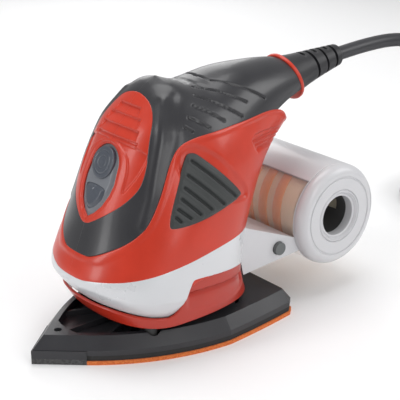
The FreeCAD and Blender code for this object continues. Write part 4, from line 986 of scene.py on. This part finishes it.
RING_THICKNESS = 2.6
GUARD_TIP = 6.6
CORD_RADIUS = 4.25


# ------------------------------------------------------------------ mains lead
CORD_ROUTE = [(0, 147, 135), (0, 178, 138), (7, 204, 138), (22, 226, 131), (42, 240, 116), (59, 248, 96),
              (68, 250, 73), (68, 250, 50), (60, 250, 29), (43, 250, 13), (22, 250, 4.25), (0, 250, 4.25)]
TAIL = [(-51.9, 21, 12.75), (-46.5, 43, 12.4), (-34, 62, 11.8), (-14, 74, 11.2), (12, 78.5, 11)]
COIL_MEAN = 47.5
COIL_PITCH = 8.5


def cord_points():
    """The lead's route, its coil worked out turn by turn, and the tail to the plug."""
    last, before = np.array(CORD_ROUTE[-1], float), np.array(CORD_ROUTE[-2], float)
    heading = last - before
    heading /= np.linalg.norm(heading)
    side = np.array([heading[1], -heading[0], 0])
    outer = COIL_MEAN + COIL_PITCH
    centre = last + side * outer
    first = math.atan2(last[1] - centre[1], last[0] - centre[0])
    points = list(map(np.array, CORD_ROUTE))
    steps = 14
    radii = [outer, COIL_MEAN, COIL_MEAN - COIL_PITCH]
    heights = [CORD_RADIUS, CORD_RADIUS * 3]
    rows = [(radii[0], heights[0]), (radii[1], heights[0]), (radii[2], heights[0]), (radii[2], heights[1]),
            (radii[1], heights[1]), (radii[0], heights[1])]
    tail_start = centre + np.array(TAIL[0])
    tail_turn = math.atan2(TAIL[0][1], TAIL[0][0])
    total = 2 * math.pi * (len(rows) - 1) + (first - tail_turn) % (2 * math.pi)
    count = int(total / (2 * math.pi) * steps)
    for i in range(1, count):
        turned = total * i / count
        row = turned / (2 * math.pi)
        low = min(int(row), len(rows) - 1)
        high = min(low + 1, len(rows) - 1)
        share = float(ledge(np.array((row - low) * 2.2 - 1.6), 1.0)) if high > low else 0.0
        radius = rows[low][0] + (rows[high][0] - rows[low][0]) * share
        height = rows[low][1] + (rows[high][1] - rows[low][1]) * share
        angle = first - turned
        points.append(np.array([centre[0] + radius * math.cos(angle),
                                centre[1] + radius * math.sin(angle), height]))
    points += [tail_start] + [np.array([centre[0] + x, centre[1] + y, z]) for x, y, z in TAIL[1:]]
    return points


def make_cord():
    curve = bpy.data.curves.new("mains_lead", "CURVE")
    curve.dimensions = "3D"
    curve.bevel_depth = CORD_RADIUS * MM
    curve.bevel_resolution = 6
    curve.resolution_u = 6
    curve.use_fill_caps = True
    points = cord_points()
    spline = curve.splines.new("NURBS")
    spline.points.add(len(points) - 1)
    for knot, place in zip(spline.points, points):
        knot.co = (*[float(c) * MM for c in place], 1.0)
    spline.order_u = 3
    spline.use_endpoint_u = True
    curve.materials.append(M["cord"])
    lead = bpy.data.objects.new("mains_lead", curve)
    bpy.context.scene.collection.objects.link(lead)
    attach(lead, "housing")
    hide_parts("power_cord", "cord_coil", "cord_tail")


make_cord()
make_housing()
make_drum()
make_spiral()
make_cap()
make_guard()
make_grip()
make_side_pads()
make_band()
make_boot()
make_face_plate()
make_switch()
